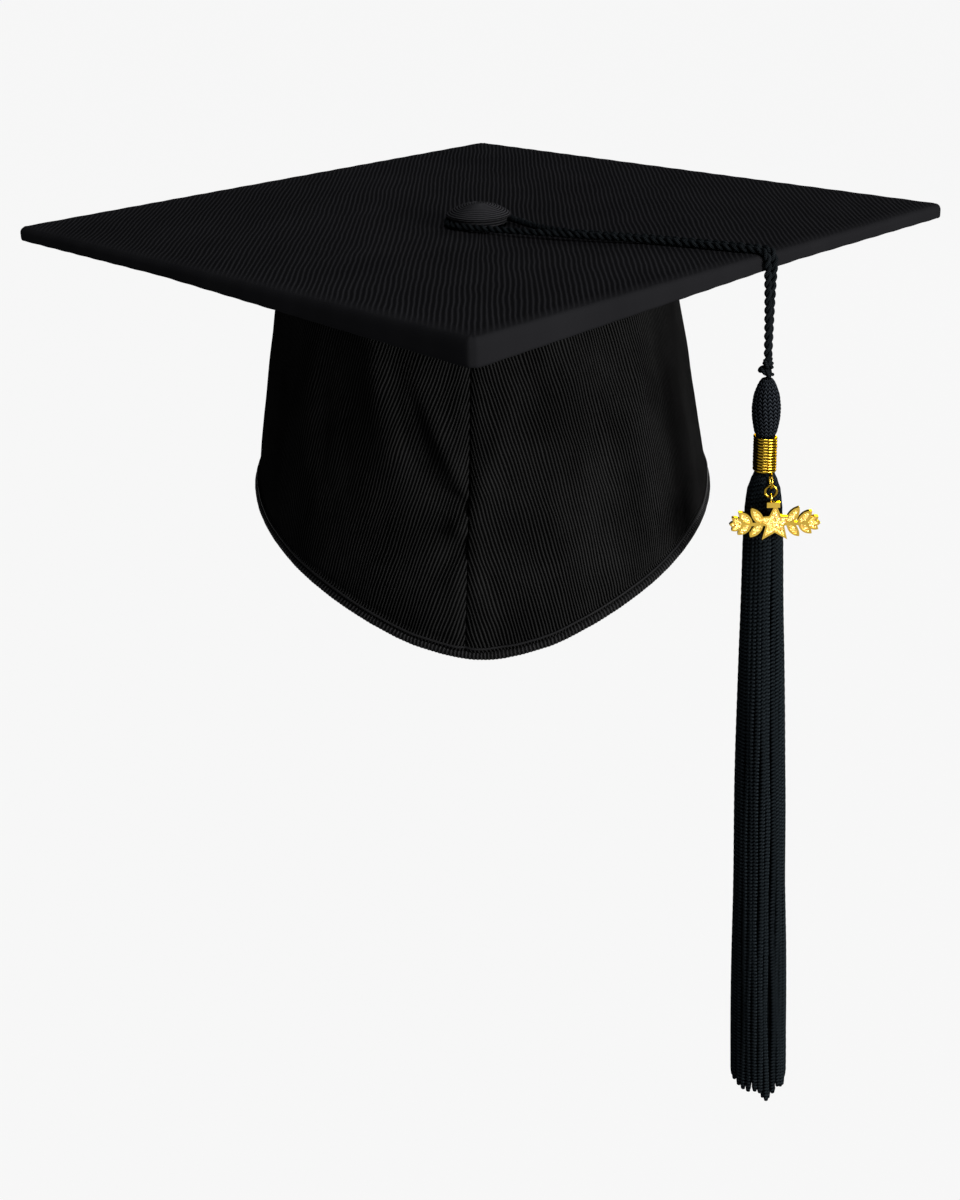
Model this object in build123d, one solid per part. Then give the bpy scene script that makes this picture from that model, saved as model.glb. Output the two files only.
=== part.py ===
from build123d import *
import math
import os

# Graduation cap (mortarboard) with its tassel. Millimetres, +Z up.
# Origin: centre of the head opening, level with the rim at the wearer's ears.
# The cap's front (the peak of the rim) points to -Y, the board's corners lie on the X and Y axes.

# ---------------------------------------------------------------- driving sizes
BOARD_SIDE = 241.3        # 9.5 inch square board
BOARD_TOP = 105.0         # top of the covered board
BOARD_T = 5.0             # covered thickness at the edge
CORNER_R = 4.0            # plan radius of the corners
EDGE_R = 2.0              # rolled upper edge of the cover
COVER_T = 0.8             # fabric with its fusing
INSERT_T = 3.2            # stiff board inside
DISH = 2.5                # depth the button pulls the middle down
DISH_R = 75.0             # radius over which the board is pulled down
GAP = 0.15                # air between stitched layers

BUTTON_X, BUTTON_Y = 0.0, -6.0
BUTTON_R = 11.6
BUTTON_H = 8.3
NECK_R = 9.4

PANEL_T = 0.8             # outer crown fabric
LINING_T = 0.5
BAND_T = 0.8
ELASTIC_T = 1.2
CROWN_X0 = -1.2           # the crown sits a little to the wearer's right
CROWN_N = 2.2             # exponent of the oval plan
PIPING_R = 1.8
FILLER_R = 0.9

CORD_D = 2.6              # two-ply tassel cord
CORD_R = CORD_D / 2
EDGE_T = 13.0             # where the cord crosses the edge, along it from its middle
JOINT_GAP = 3.5           # free cord length between two rounded cord ends at a swing

TASSEL_DROP = 333.0       # board top to the longest strand
CHARM_W, CHARM_T = 31.0, 1.5

os.makedirs("parts", exist_ok=True)
HALF = BOARD_SIDE / 2
DIAG = BOARD_SIDE / math.sqrt(2)
BOT = BOARD_TOP - BOARD_T


def save(shape, name):
    export_step(shape, "parts/" + name + ".step")
    return shape


# ---------------------------------------------------------------- board
def plate(side, z0, z1, r):
    body = extrude(RectangleRounded(side, side, r), amount=z1 - z0)
    return Pos(0, 0, z0) * Rot(0, 0, 45) * body


def dish(z_top):
    """Ball whose underside is the shallow dish in a surface at z_top."""
    r = (DISH_R ** 2 + DISH ** 2) / (2 * DISH)
    return Pos(BUTTON_X, BUTTON_Y, z_top - DISH + r) * Sphere(r)


SHANK_R = 1.6
insert_side = BOARD_SIDE - 4.0
insert_z0 = BOT + COVER_T + 0.1
insert_z1 = insert_z0 + INSERT_T
hole = Pos(BUTTON_X, BUTTON_Y, 60) * Cylinder(SHANK_R + 0.4, 60, align=(Align.CENTER, Align.CENTER, Align.MIN))

outer = plate(BOARD_SIDE, BOT, BOARD_TOP, CORNER_R)
outer = fillet(outer.faces().sort_by(Axis.Z)[-1].edges(), EDGE_R)
outer = fillet(outer.faces().sort_by(Axis.Z)[0].edges(), 0.9)
pocket = plate(insert_side + 0.2, BOT - 1, insert_z1 + 0.1, 2.6) - dish(insert_z1 + 0.1)
cover_top = outer - dish(BOARD_TOP) - pocket - hole
insert = plate(insert_side, insert_z0, insert_z1, 2.5) - dish(insert_z1) - hole
cover_bottom = plate(insert_side, BOT, BOT + COVER_T, 2.5) - hole
save(cover_top, "board_cover_top")
save(insert, "board_insert")
save(cover_bottom, "board_cover_bottom")


# ---------------------------------------------------------------- crown
def lerp(table, v):
    for (v0, a0), (v1, a1) in zip(table, table[1:]):
        if v <= v1:
            return a0 + (a1 - a0) * max(0.0, (v - v0)) / (v1 - v0)
    return table[-1][1]


def smooth(table, v):
    """Cubic through the table's points, slopes from the neighbours."""
    n = len(table)
    v = min(max(v, table[0][0]), table[-1][0])
    i = max(k for k in range(n - 1) if table[k][0] <= v)
    x0, y0 = table[i]
    x1, y1 = table[i + 1]

    def slope(k):
        if k == 0 or k == n - 1:
            return 0.0
        return (table[k + 1][1] - table[k - 1][1]) / (table[k + 1][0] - table[k - 1][0])

    h = x1 - x0
    s = (v - x0) / h
    return (
        (2 * s ** 3 - 3 * s ** 2 + 1) * y0
        + (s ** 3 - 2 * s ** 2 + s) * h * slope(i)
        + (-2 * s ** 3 + 3 * s ** 2) * y1
        + (s ** 3 - s ** 2) * h * slope(i + 1)
    )


# Half width and half depth of the crown by depth under the board's top.
HALF_WIDTH = [(0, 68.6), (35, 75.0), (60, 79.4), (75, 82.0), (90, 84.4), (105, 86.0), (135, 88.0)]
HALF_DEPTH = [(0, 82.5), (35, 90.5), (60, 95.0), (90, 98.6), (110, 100.0), (135, 101.0)]
# Depth of the rim under the board's top, by angle from the front.
RIM = [(0, 129.6), (12, 126.0), (20, 121.2), (28, 116.2), (36, 111.6), (45, 107.2), (52, 104.2), (61, 101.2),
       (76, 98.0), (90, 96.5), (120, 94.6), (150, 93.0), (180, 92.0)]
RIM_TILT = 0.028          # the rim sits a little lower on the +X side


def radius(depth, ang, off):
    a, b = lerp(HALF_WIDTH, depth) - off, lerp(HALF_DEPTH, depth) - off
    s, c = abs(math.sin(ang)), abs(math.cos(ang))
    return ((s / a) ** CROWN_N + (c / b) ** CROWN_N) ** (-1 / CROWN_N)


def crown_point(depth, deg, off):
    """On the crown at an angle from the front (-Y) towards +X, off mm inside its outer face."""
    ang = math.radians(deg)
    r = radius(depth, ang, off)
    return (CROWN_X0 + r * math.sin(ang), -r * math.cos(ang), BOARD_TOP - depth)


def rim_depth(deg):
    d = abs((deg + 180) % 360 - 180)
    ang = math.radians(deg)
    return smooth(RIM, d) + RIM_TILT * radius(100, ang, 0) * math.sin(ang)


def wall(deg0, deg1, top, bottom, off0, off1, count):
    """Curved strip of the crown's wall between two angles. top and bottom give a depth for an angle; off0 and off1 are how
    far the strip's two faces lie inside the crown's outer face."""
    sections = []
    for i in range(count):
        deg = deg0 + (deg1 - deg0) * i / (count - 1)
        d0, d1 = top(deg), bottom(deg)
        n = 5
        out = [crown_point(d0 + (d1 - d0) * k / (n - 1), deg, off0) for k in range(n)]
        inn = [crown_point(d0 + (d1 - d0) * k / (n - 1), deg, off1) for k in range(n)]
        sections.append(Wire([Spline(*out), Line(out[-1], inn[-1]), Spline(*inn[::-1]), Line(inn[0], out[0])]))
    return Solid.make_loft(sections, ruled=False)


crown_top_depth = BOARD_T + 0.1


def panel_end(deg):
    return rim_depth(deg) - PIPING_R * 1.35 - 0.2


o1 = PANEL_T
o2 = o1 + GAP
o3 = o2 + LINING_T
o4 = o3 + GAP + 0.06
panel_right = wall(0.15, 179.85, lambda a: crown_top_depth, panel_end, 0, o1, 19)
panel_left = wall(-179.85, -0.15, lambda a: crown_top_depth, panel_end, 0, o1, 19)
save(panel_right, "crown_panel_right")
save(panel_left, "crown_panel_left")
lining_top = BOARD_T + 1.0
lining_right = wall(0.2, 179.8, lambda a: lining_top, lambda a: panel_end(a) - 0.6, o2, o3, 19)
lining_left = wall(-179.8, -0.2, lambda a: lining_top, lambda a: panel_end(a) - 0.6, o2, o3, 19)
save(lining_right, "crown_lining_right")
save(lining_left, "crown_lining_left")

# Oval of stiffened cloth that closes the top of the crown, under the board.
oval = [crown_point(crown_top_depth, d, o4 + 0.1) for d in range(0, 360, 10)]
oval_face = make_face(Spline(*[(x, y) for x, y, z in oval], periodic=True))
crown_top = Pos(0, 0, BOARD_TOP - BOARD_T - 0.1 - 0.6) * extrude(oval_face, amount=0.6) - hole
save(crown_top, "crown_top_oval")

# Tapes and bands inside the crown.
tape = wall(-3.2, 3.2, lambda a: 9.0, lambda a: 98.0, o4, o4 + 0.4, 5)
save(tape, "front_seam_tape")
BAND_H = 24.0
sweatband = wall(-112, 112, lambda a: panel_end(a) - 2 - BAND_H, lambda a: panel_end(a) - 2, o4, o4 + BAND_T, 25)
save(sweatband, "sweatband")
elastic = wall(124, 236, lambda a: panel_end(a) - 4 - 13, lambda a: panel_end(a) - 4, o4, o4 + ELASTIC_T, 13)
save(elastic, "back_elastic")
c0 = o4 + ELASTIC_T + GAP
casing = wall(122, 238, lambda a: panel_end(a) - 2 - 17, lambda a: panel_end(a) - 2, c0, c0 + 0.5, 13)
save(casing, "elastic_casing")
tacks = Compound(children=[
    wall(a0, a0 + 3, lambda a: panel_end(a) - 18, lambda a: panel_end(a) - 3, o4, c0 - 0.02, 3) for a0 in (119.0, 238.2)
])
save(tacks, "elastic_end_tacks")
label = wall(176, 184, lambda a: panel_end(a) - 50, lambda a: panel_end(a) - 22, o4 + 0.15, o4 + 0.45, 5)
save(label, "blank_size_label")


# Piping: a cord wrapped in a bias strip, sewn all round the rim, its ends meeting at the back.
def fillet_path(points, radii=None, share=0.45):
    """Straight runs joined by tangent arcs; each arc is as large as its two runs allow."""
    out = []
    for i in range(1, len(points) - 1):
        a, b, c = (Vector(*points[k]) for k in (i - 1, i, i + 1))
        turn = math.radians((b - a).get_angle(c - b))
        run = min((b - a).length, (c - b).length)
        r = share * run / math.tan(turn / 2)
        if radii and radii.get(i):
            r = min(r, radii[i])
        out.append(r)
    return FilletPolyline(*points, radius=out), out


def tube(path, r):
    start = path.position_at(0)
    along = path.tangent_at(0)
    return sweep(Plane(origin=start, z_dir=along) * Circle(r), path=path)


rim_points = []
for i in range(31):
    deg = -179.0 + 358.0 * i / 30
    x, y, z = crown_point(rim_depth(deg), deg, PANEL_T / 2)
    rim_points.append((x, y, z))
rim_path, _ = fillet_path(rim_points)
piping_full = tube(rim_path, PIPING_R)
filler = tube(rim_path, FILLER_R)
piping = piping_full - tube(rim_path, FILLER_R + 0.08)
save(piping, "rim_piping_cover")
save(filler, "rim_piping_filler")

# ---------------------------------------------------------------- button
BZ = BOARD_TOP - DISH + 0.05


def revolve_profile(points, x, y, z):
    """Solid of revolution about a vertical axis, from (radius, height) points and ('arc', through, end) steps."""
    edges, here = [], points[0]
    for p in points[1:]:
        if isinstance(p[0], str):
            edges.append(ThreePointArc((here[0], 0, here[1]), (p[1][0], 0, p[1][1]), (p[2][0], 0, p[2][1])))
            here = p[2]
        else:
            edges.append(Line((here[0], 0, here[1]), (p[0], 0, p[1])))
            here = p
    if here != points[0]:
        edges.append(Line((here[0], 0, here[1]), (points[0][0], 0, points[0][1])))
    return Pos(x, y, z) * revolve(make_face(edges), Axis.Z)


def cap_arc(r, h, base):
    """Through point of an arc from (r, base) to (0, base + h)."""
    big = (r * r + h * h) / (2 * h)
    ang = math.asin(min(1.0, r / big)) / 2
    return (big * math.sin(ang), base + h - big + big * math.cos(ang))


def dome_profile(r, h, base, t):
    return [
        (0, base + h), ("arc", cap_arc(r, h, base), (r, base)),
        (r - 1.2, base - 1.2), (r - 1.2 - t, base - 1.2), (r - t, base),
        ("arc", cap_arc(r - t, h - t, base), (0, base + h - t)),
    ]


dome_base = 4.4
button_cover = revolve_profile(dome_profile(BUTTON_R, BUTTON_H - dome_base, dome_base, 0.8), BUTTON_X, BUTTON_Y, BZ)
button_shell = revolve_profile(
    dome_profile(BUTTON_R - 0.85, BUTTON_H - dome_base - 0.85, dome_base, 0.45), BUTTON_X, BUTTON_Y, BZ)
save(button_cover, "button_cover")
save(button_shell, "button_shell")
back_plate = revolve_profile(
    [(0, 0.0), (7.4, 0.0), (7.4, 1.6), (BUTTON_R - 2.75, 3.25), (BUTTON_R - 2.75, 4.0), (0, 4.0)], BUTTON_X, BUTTON_Y, BZ)
save(back_plate, "button_back_plate")
shank_bottom = BOARD_TOP - BOARD_T - 0.7 - 1.6
shank = Pos(BUTTON_X, BUTTON_Y, shank_bottom) * Cylinder(
    SHANK_R, BZ - 0.02 - shank_bottom, align=(Align.CENTER, Align.CENTER, Align.MIN))
prong = Pos(BUTTON_X, BUTTON_Y, shank_bottom - 0.5) * Box(14, 2.4, 0.5, align=(Align.CENTER, Align.CENTER, Align.MIN))
save(shank + prong, "button_prong_fastener")
washer = Pos(BUTTON_X, BUTTON_Y, shank_bottom + 0.1) * (
    Cylinder(8.5, 0.9, align=(Align.CENTER, Align.CENTER, Align.MIN))
    - Cylinder(SHANK_R + 0.15, 3, align=(Align.CENTER, Align.CENTER, Align.CENTER)))
save(washer, "button_washer")

# ---------------------------------------------------------------- tassel cord
# n points out over the front right edge, t runs along that edge. One cord: both ends come from the knot, run up over the
# edge and across the board, and the bight goes round the button's neck.
Q2 = math.sqrt(0.5)


def nt(n, t, z):
    return (Q2 * n + Q2 * t, -Q2 * n + Q2 * t, z)


def to_nt(x, y):
    return (Q2 * (x - y), Q2 * (x + y))


BN, BT = to_nt(BUTTON_X, BUTTON_Y)
Z_CORD = BOARD_TOP + CORD_R + 0.12
Z_DISH = BOARD_TOP - DISH + CORD_R + 0.12
HANG_N = HALF - EDGE_R + EDGE_R + CORD_R + 0.12          # hanging cord, clear of the edge
PIVOT_N = HALF - 2.6                                       # where the cord starts to turn down
TASSEL_X, TASSEL_Y, _ = nt(HANG_N, EDGE_T, 0)
KNOT_TOP = BOARD_TOP - 35.5
S_EDGE = 1.7                                               # half the spacing of the two strands at the edge
S_KNOT = 1.36

LOOP_R = 11.3                                              # centreline of the cord round the button's neck
aim = math.atan2(EDGE_T - BT, PIVOT_N - BN)                # direction of the tassel from the button, in n and t


def polar(r, ang, z):
    return nt(BN + r * math.cos(ang), BT + r * math.sin(ang), z)


turn_r = LOOP_R / math.cos(math.radians(22.5))
loop_points = [
    nt(PIVOT_N, EDGE_T + S_EDGE, Z_CORD),
    nt(80.0, 4.4, Z_CORD + 0.12),
    nt(53.0, -2.15, Z_CORD - 0.8),
    nt(34.0, -2.2, Z_CORD - 1.62),
]
for deg in (67.5, 112.5, 157.5, 202.5, 247.5, 292.5):
    loop_points.append(polar(turn_r, math.radians(deg), Z_DISH + (0.25 if 100 < deg < 260 else 0.3)))
loop_points += [
    nt(42.0, -7.95, Z_CORD - 1.2),
    nt(79.0, 1.1, Z_CORD + 0.12),
    nt(PIVOT_N, EDGE_T - S_EDGE, Z_CORD),
]


def cord_solid(points, name, radii=None, caps=(True, True)):
    path, got = fillet_path(points, radii)
    body = tube(path, CORD_R)
    for use, p in zip(caps, (points[0], points[-1])):
        if use:
            body = body + Pos(*p) * Sphere(CORD_R)
    length = path.length
    print(name, "length %.1f" % length, "radii", [round(r, 1) for r in got],
          "volume %.1f against section x length %.1f" % (body.volume, math.pi * CORD_R ** 2 * length))
    save(body, name)
    return body


loop = cord_solid(loop_points, "tassel_cord_loop")

# The short bends over the edge. Each starts JOINT_GAP from the end of the strand on the board.
Z_BEND = BOARD_TOP - EDGE_R
bends = []
for s in (S_EDGE, -S_EDGE):
    g = 2.75
    pts = [
        nt(PIVOT_N + g * math.cos(math.radians(14)), EDGE_T + s, Z_CORD - g * math.sin(math.radians(14))),
        nt(HANG_N - 0.75, EDGE_T + s, Z_CORD - 1.35),
        nt(HANG_N, EDGE_T + s, Z_CORD - 2.4),
        nt(HANG_N, EDGE_T + s * 1.001, BOARD_TOP - 4.2),
    ]
    path, got = fillet_path(pts)
    body = tube(path, CORD_R) + Pos(*pts[0]) * Sphere(CORD_R) + Pos(*pts[-1]) * Sphere(CORD_R)
    bends.append(body)
save(Compound(children=bends), "cord_bend_over_edge")

Z_HANG = BOARD_TOP - 4.2 - JOINT_GAP
for name, s in (("cord_drop_rear", 1), ("cord_drop_front", -1)):
    cord_solid([
        nt(HANG_N, EDGE_T + s * S_EDGE, Z_HANG),
        nt(HANG_N, EDGE_T + s * (S_EDGE - 0.02), Z_HANG - 12.0),
        nt(HANG_N, EDGE_T + s * S_KNOT, Z_HANG - 24.0),
        nt(HANG_N, EDGE_T + s * (S_KNOT + 0.01), KNOT_TOP),
    ], name, caps=(True, False))

# ---------------------------------------------------------------- tassel
TX, TY = TASSEL_X, TASSEL_Y
HEAD_TOP, HEAD_BOT = BOARD_TOP - 41.8, BOARD_TOP - 61.0
WRAP_BOT = BOARD_TOP - 74.2
TASSEL_END = BOARD_TOP - TASSEL_DROP


def revolve_spline(pts, x, y, inner=None):
    """Solid of revolution from (radius, z) points, smooth outside and flat at both ends."""
    out = Spline(*[(r, 0, z) for r, z in pts])
    edges = [out]
    if inner:
        inn = Spline(*[(r, 0, z) for r, z in inner[::-1]])
        edges += [Line((pts[-1][0], 0, pts[-1][1]), (inner[-1][0], 0, inner[-1][1])), inn,
                  Line((inner[0][0], 0, inner[0][1]), (pts[0][0], 0, pts[0][1]))]
    else:
        edges += [Line((pts[-1][0], 0, pts[-1][1]), (0, 0, pts[-1][1])), Line((0, 0, pts[-1][1]), (0, 0, pts[0][1])),
                  Line((0, 0, pts[0][1]), (pts[0][0], 0, pts[0][1]))]
    return Pos(x, y, 0) * revolve(make_face(edges), Axis.Z)


knot = revolve_spline([(2.2, KNOT_TOP - 0.02), (2.75, KNOT_TOP - 1.6), (2.85, KNOT_TOP - 3.2), (2.3, KNOT_TOP - 5.0),
                       (1.7, HEAD_TOP + 0.05)], TX, TY)
save(knot, "tassel_knot")
egg = [(1.9, HEAD_TOP), (3.1, HEAD_TOP - 2.2), (4.2, HEAD_TOP - 5.4), (4.7, HEAD_TOP - 9.6), (4.55, HEAD_TOP - 13.4),
       (4.0, HEAD_TOP - 16.8), (3.45, HEAD_BOT)]
head_cover = revolve_spline(egg, TX, TY, inner=[(r - 0.9, z) for r, z in egg])
save(head_cover, "tassel_head_cover")
head_core = revolve_spline([(r - 1.0, z - (0.3 if i == 0 else -0.3 if i == len(egg) - 1 else 0)) for i, (r, z) in enumerate(egg)], TX, TY)
save(head_core, "tassel_head_bead")

# Close coils of gold wire round the neck: beads of wire one on another.
WRAP_R = 4.06
turns = 12
pitch = (HEAD_BOT - 0.05 - WRAP_BOT) / turns
edges = [Line((3.3, 0, WRAP_BOT), (3.3, 0, HEAD_BOT - 0.05)), Line((3.3, 0, HEAD_BOT - 0.05), (WRAP_R - 0.3, 0, HEAD_BOT - 0.05))]
for i in range(turns):
    z1 = HEAD_BOT - 0.05 - i * pitch
    z0 = z1 - pitch
    edges.append(ThreePointArc((WRAP_R - 0.3, 0, z1), (WRAP_R, 0, (z0 + z1) / 2), (WRAP_R - 0.3, 0, z0)))
edges.append(Line((WRAP_R - 0.3, 0, WRAP_BOT), (3.3, 0, WRAP_BOT)))
wrap = Pos(TX, TY, 0) * revolve(make_face(edges), Axis.Z)
save(wrap, "neck_wire_wrap")

skirt_outer = [(3.2, HEAD_BOT - 0.1), (3.2, WRAP_BOT + 0.1)]
shoulder = [(3.25, WRAP_BOT + 0.1), (4.5, BOARD_TOP - 77.2), (5.75, BOARD_TOP - 81.0), (6.4, BOARD_TOP - 87.0), (7.0, BOARD_TOP - 100.0),
            (8.1, BOARD_TOP - 140.0), (9.2, BOARD_TOP - 196.0), (10.2, BOARD_TOP - 260.0), (10.9, TASSEL_END + 6)]
sk = [Line((0, 0, HEAD_BOT - 0.1), (3.25, 0, HEAD_BOT - 0.1)), Line((3.25, 0, HEAD_BOT - 0.1), (3.25, 0, WRAP_BOT + 0.1)),
      Spline(*[(r, 0, z) for r, z in shoulder]),
      Line((10.9, 0, TASSEL_END + 6), (8.5, 0, TASSEL_END)), Line((8.5, 0, TASSEL_END), (0, 0, TASSEL_END)),
      Line((0, 0, TASSEL_END), (0, 0, HEAD_BOT - 0.1))]
skirt = Pos(TX, TY, 0) * revolve(make_face(sk), Axis.Z)
save(skirt, "tassel_skirt_strands")

# ---------------------------------------------------------------- bail, ring and charm
CX = TX + 1.2
BAIL_Y, BAIL_Z, BAIL_R, WIRE_R = TY - 7.0, BOARD_TOP - 75.4, 2.45, 0.42
bail = Pos(CX, BAIL_Y, BAIL_Z) * Rot(0, 90, 0) * Torus(BAIL_R, WIRE_R)
save(bail, "charm_bail")
RING_R, RING_W = 1.95, 0.4
RING_Y = TY - 7.7
ring_top = BAIL_Z - math.sqrt(BAIL_R ** 2 - (RING_Y - BAIL_Y) ** 2) + WIRE_R + RING_W + 0.12
RING_Z = ring_top - RING_R
ring = Pos(CX, RING_Y, RING_Z) * Rot(90, 0, 0) * Torus(RING_R, RING_W)
save(ring, "charm_jump_ring")
LUG_R, LUG_W = 1.2, 0.38
lug_top = RING_Z - RING_R + RING_W + LUG_W + 0.12
LUG_Y = TY - 7.95
LUG_Z = lug_top - LUG_R
lug = Pos(CX, LUG_Y, LUG_Z) * Rot(0, 90, 0) * Torus(LUG_R, LUG_W)
CHARM_Y = TY - 9.1                                          # middle of the plate
CHARM_TOP = LUG_Z - LUG_R + 0.1
CH = CHARM_TOP - 7.2                                        # middle height of the charm
charm_cx = TX + 2.6


def star(r, inner=0.42, points=5, cx=0.0, cy=0.0):
    pts = []
    for k in range(points * 2):
        rr = r if k % 2 == 0 else r * inner
        a = math.pi / 2 + k * math.pi / points
        pts.append((cx + rr * math.cos(a), cy + rr * math.sin(a)))
    return make_face(Polyline(*pts, close=True))


def leaf(cx, cy, length, width, ang):
    """Pointed leaf made of two arcs."""
    h = width / 2
    edges = [ThreePointArc((-length / 2, 0), (0, h), (length / 2, 0)), ThreePointArc((length / 2, 0), (0, -h), (-length / 2, 0))]
    return Pos(cx, cy) * Rot(0, 0, ang) * make_face(edges)


def bar(cx, cy, length, width, ang):
    return Pos(cx, cy) * Rot(0, 0, ang) * Rectangle(length, width)


LEAVES = []
for side in (1, -1):
    for x, ln, wd, up in ((4.2, 7.6, 3.3, 57), (4.4, 6.6, 3.0, -50), (7.9, 6.9, 3.1, 46), (8.2, 6.2, 2.9, -41), (11.0, 4.9, 2.5, 36),
                          (11.2, 4.6, 2.4, -33), (11.7, 4.2, 2.3, 1)):
        reach = ln / 2 - 0.6
        ang = up if side == 1 else 180 - up
        LEAVES.append((side * x + reach * math.cos(math.radians(ang)), -0.4 + reach * math.sin(math.radians(ang)), ln, wd, ang))
motif = star(7.2, 0.46, cy=-0.2)
for x, y, ln, wd, an in LEAVES:
    motif = motif + leaf(x, y, ln, wd, an)
motif = motif + bar(0, -0.4, 25.0, 1.2, 0) + bar((CX - charm_cx) / 2, 6.4, 1.6 + abs(CX - charm_cx) * 2, 1.9, 0)
fills = [star(5.7, 0.45, cy=-0.2)] + [leaf(x, y, ln * 0.66, wd * 0.55, an) for x, y, ln, wd, an in LEAVES]


def place(face, y0, t):
    """Stand a face drawn in X and Y up in the XZ plane, y0 its front face, t its thickness towards +Y."""
    return Pos(charm_cx, y0 + t, CH) * Rot(90, 0, 0) * extrude(face, amount=t, dir=(0, 0, 1))


front = CHARM_Y - CHARM_T / 2
charm = place(motif, front, CHARM_T)
fill_solids = []
for f in fills:
    charm = charm - place(f, front - 0.5, 0.9)
    fill_solids.append(place(f, front + 0.12, 0.26))
charm = charm + lug
save(charm, "laurel_charm")
save(Compound(children=[s for f in fill_solids for s in f.solids()]), "charm_glitter_infill")

print("tassel axis", round(TX, 3), round(TY, 3), "button", BUTTON_X, BUTTON_Y, "pivot n", PIVOT_N, "hang n", HANG_N)
print("swing pivot", [round(v, 3) for v in nt(PIVOT_N, EDGE_T, Z_CORD)], "side pivot", [round(v, 3) for v in nt(HANG_N, EDGE_T, BOARD_TOP - 4.2)])
print("bail bottom", round(BAIL_Z - BAIL_R, 3), "ring z", round(RING_Z, 3), "lug z", round(LUG_Z, 3), "charm mid", round(CH, 3), "charm x", round(charm_cx, 3), "CX", round(CX, 3))
print("loop points", [tuple(round(v, 3) for v in p) for p in loop_points])
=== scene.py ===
import bpy
import bmesh
import math
import numpy as np
from mathutils import Matrix, Vector


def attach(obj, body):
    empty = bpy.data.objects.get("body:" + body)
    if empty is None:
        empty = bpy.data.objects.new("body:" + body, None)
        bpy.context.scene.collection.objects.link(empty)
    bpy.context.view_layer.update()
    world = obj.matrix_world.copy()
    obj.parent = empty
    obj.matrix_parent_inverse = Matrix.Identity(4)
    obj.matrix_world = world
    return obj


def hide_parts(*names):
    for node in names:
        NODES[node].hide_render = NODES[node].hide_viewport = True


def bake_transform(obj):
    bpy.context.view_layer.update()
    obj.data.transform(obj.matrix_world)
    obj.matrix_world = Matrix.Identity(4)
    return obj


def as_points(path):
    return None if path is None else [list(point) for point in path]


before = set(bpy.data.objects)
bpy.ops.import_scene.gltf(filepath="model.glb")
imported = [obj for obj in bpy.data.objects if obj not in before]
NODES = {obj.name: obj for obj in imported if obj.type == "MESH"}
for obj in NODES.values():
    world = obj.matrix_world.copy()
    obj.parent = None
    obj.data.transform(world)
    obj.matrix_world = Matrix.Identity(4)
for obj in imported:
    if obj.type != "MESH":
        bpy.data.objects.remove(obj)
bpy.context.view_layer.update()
MM = 0.001
Q2 = math.sqrt(0.5)
SC = bpy.context.scene
SC.view_settings.view_transform = "Standard"
RNG = np.random.default_rng(7)

# ------------------------------------------------------------------ camera
YAW, PITCH, ROLL = -0.01827, 0.35154, -0.02872
cam_data = bpy.data.cameras.new("camera")
cam_data.sensor_width = 36.0
cam_data.lens = 51.0
cam_data.shift_y = -0.1
cam_data.clip_end = 100.0
cam = bpy.data.objects.new("camera", cam_data)
SC.collection.objects.link(cam)
fw = Vector((math.sin(YAW) * math.cos(PITCH), math.cos(YAW) * math.cos(PITCH), -math.sin(PITCH)))
ri = Vector((math.cos(YAW), -math.sin(YAW), 0.0))
up = ri.cross(fw)
r2 = ri * math.cos(ROLL) + up * math.sin(ROLL)
u2 = -ri * math.sin(ROLL) + up * math.cos(ROLL)
m = Matrix((r2, u2, -fw)).transposed().to_4x4()
m.translation = Vector((0.0091321, -0.6190298, 0.2285968))
cam.matrix_world = m
SC.camera = cam


# ------------------------------------------------------------------ mesh helpers (all in millimetres)
def mesh_obj(name, verts, faces, attrs=None, smooth=True, recalc=True):
    v = np.asarray(verts, float).reshape(-1, 3) * MM
    me = bpy.data.meshes.new(name)
    f = [tuple(int(i) for i in q) for q in faces]
    me.from_pydata([tuple(p) for p in v], [], f)
    me.validate()
    me.update()
    if recalc:
        bm = bmesh.new()
        bm.from_mesh(me)
        bmesh.ops.recalc_face_normals(bm, faces=bm.faces)
        bm.to_mesh(me)
        bm.free()
    for key, val in (attrs or {}).items():
        a = me.attributes.new(key, "FLOAT_VECTOR", "POINT")
        a.data.foreach_set("vector", np.asarray(val, np.float32).reshape(-1))
    if smooth:
        me.polygons.foreach_set("use_smooth", [True] * len(me.polygons))
    ob = bpy.data.objects.new(name, me)
    SC.collection.objects.link(ob)
    return ob


def grid_faces(nu, nv, closed_u=False, closed_v=False, base=0):
    """Quads of a grid of nu x nv points, index = u * nv + v."""
    iu = np.arange(nu if closed_u else nu - 1)
    iv = np.arange(nv if closed_v else nv - 1)
    a, b = np.meshgrid(iu, iv, indexing="ij")
    a2, b2 = (a + 1) % nu, (b + 1) % nv
    q = np.stack([a * nv + b, a2 * nv + b, a2 * nv + b2, a * nv + b2], -1).reshape(-1, 4)
    return q + base


def shell(outer, inner, closed_u=False):
    """Closed skin from an outer and an inner grid of nu x nv x 3 points."""
    nu, nv = outer.shape[:2]
    n = nu * nv
    v = np.concatenate([outer.reshape(-1, 3), inner.reshape(-1, 3)])
    f = [grid_faces(nu, nv, closed_u), grid_faces(nu, nv, closed_u)[:, ::-1] + n]
    iu = np.arange(nu if closed_u else nu - 1)
    for k in (0, nv - 1):
        a, b = iu * nv + k, ((iu + 1) % nu) * nv + k
        q = np.stack([a, b, b + n, a + n], -1)
        f.append(q if k else q[:, ::-1])
    if not closed_u:
        jv = np.arange(nv - 1)
        for k in (0, nu - 1):
            a, b = k * nv + jv, k * nv + jv + 1
            q = np.stack([a, b, b + n, a + n], -1)
            f.append(q[:, ::-1] if k else q)
    return v, np.concatenate(f)


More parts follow.
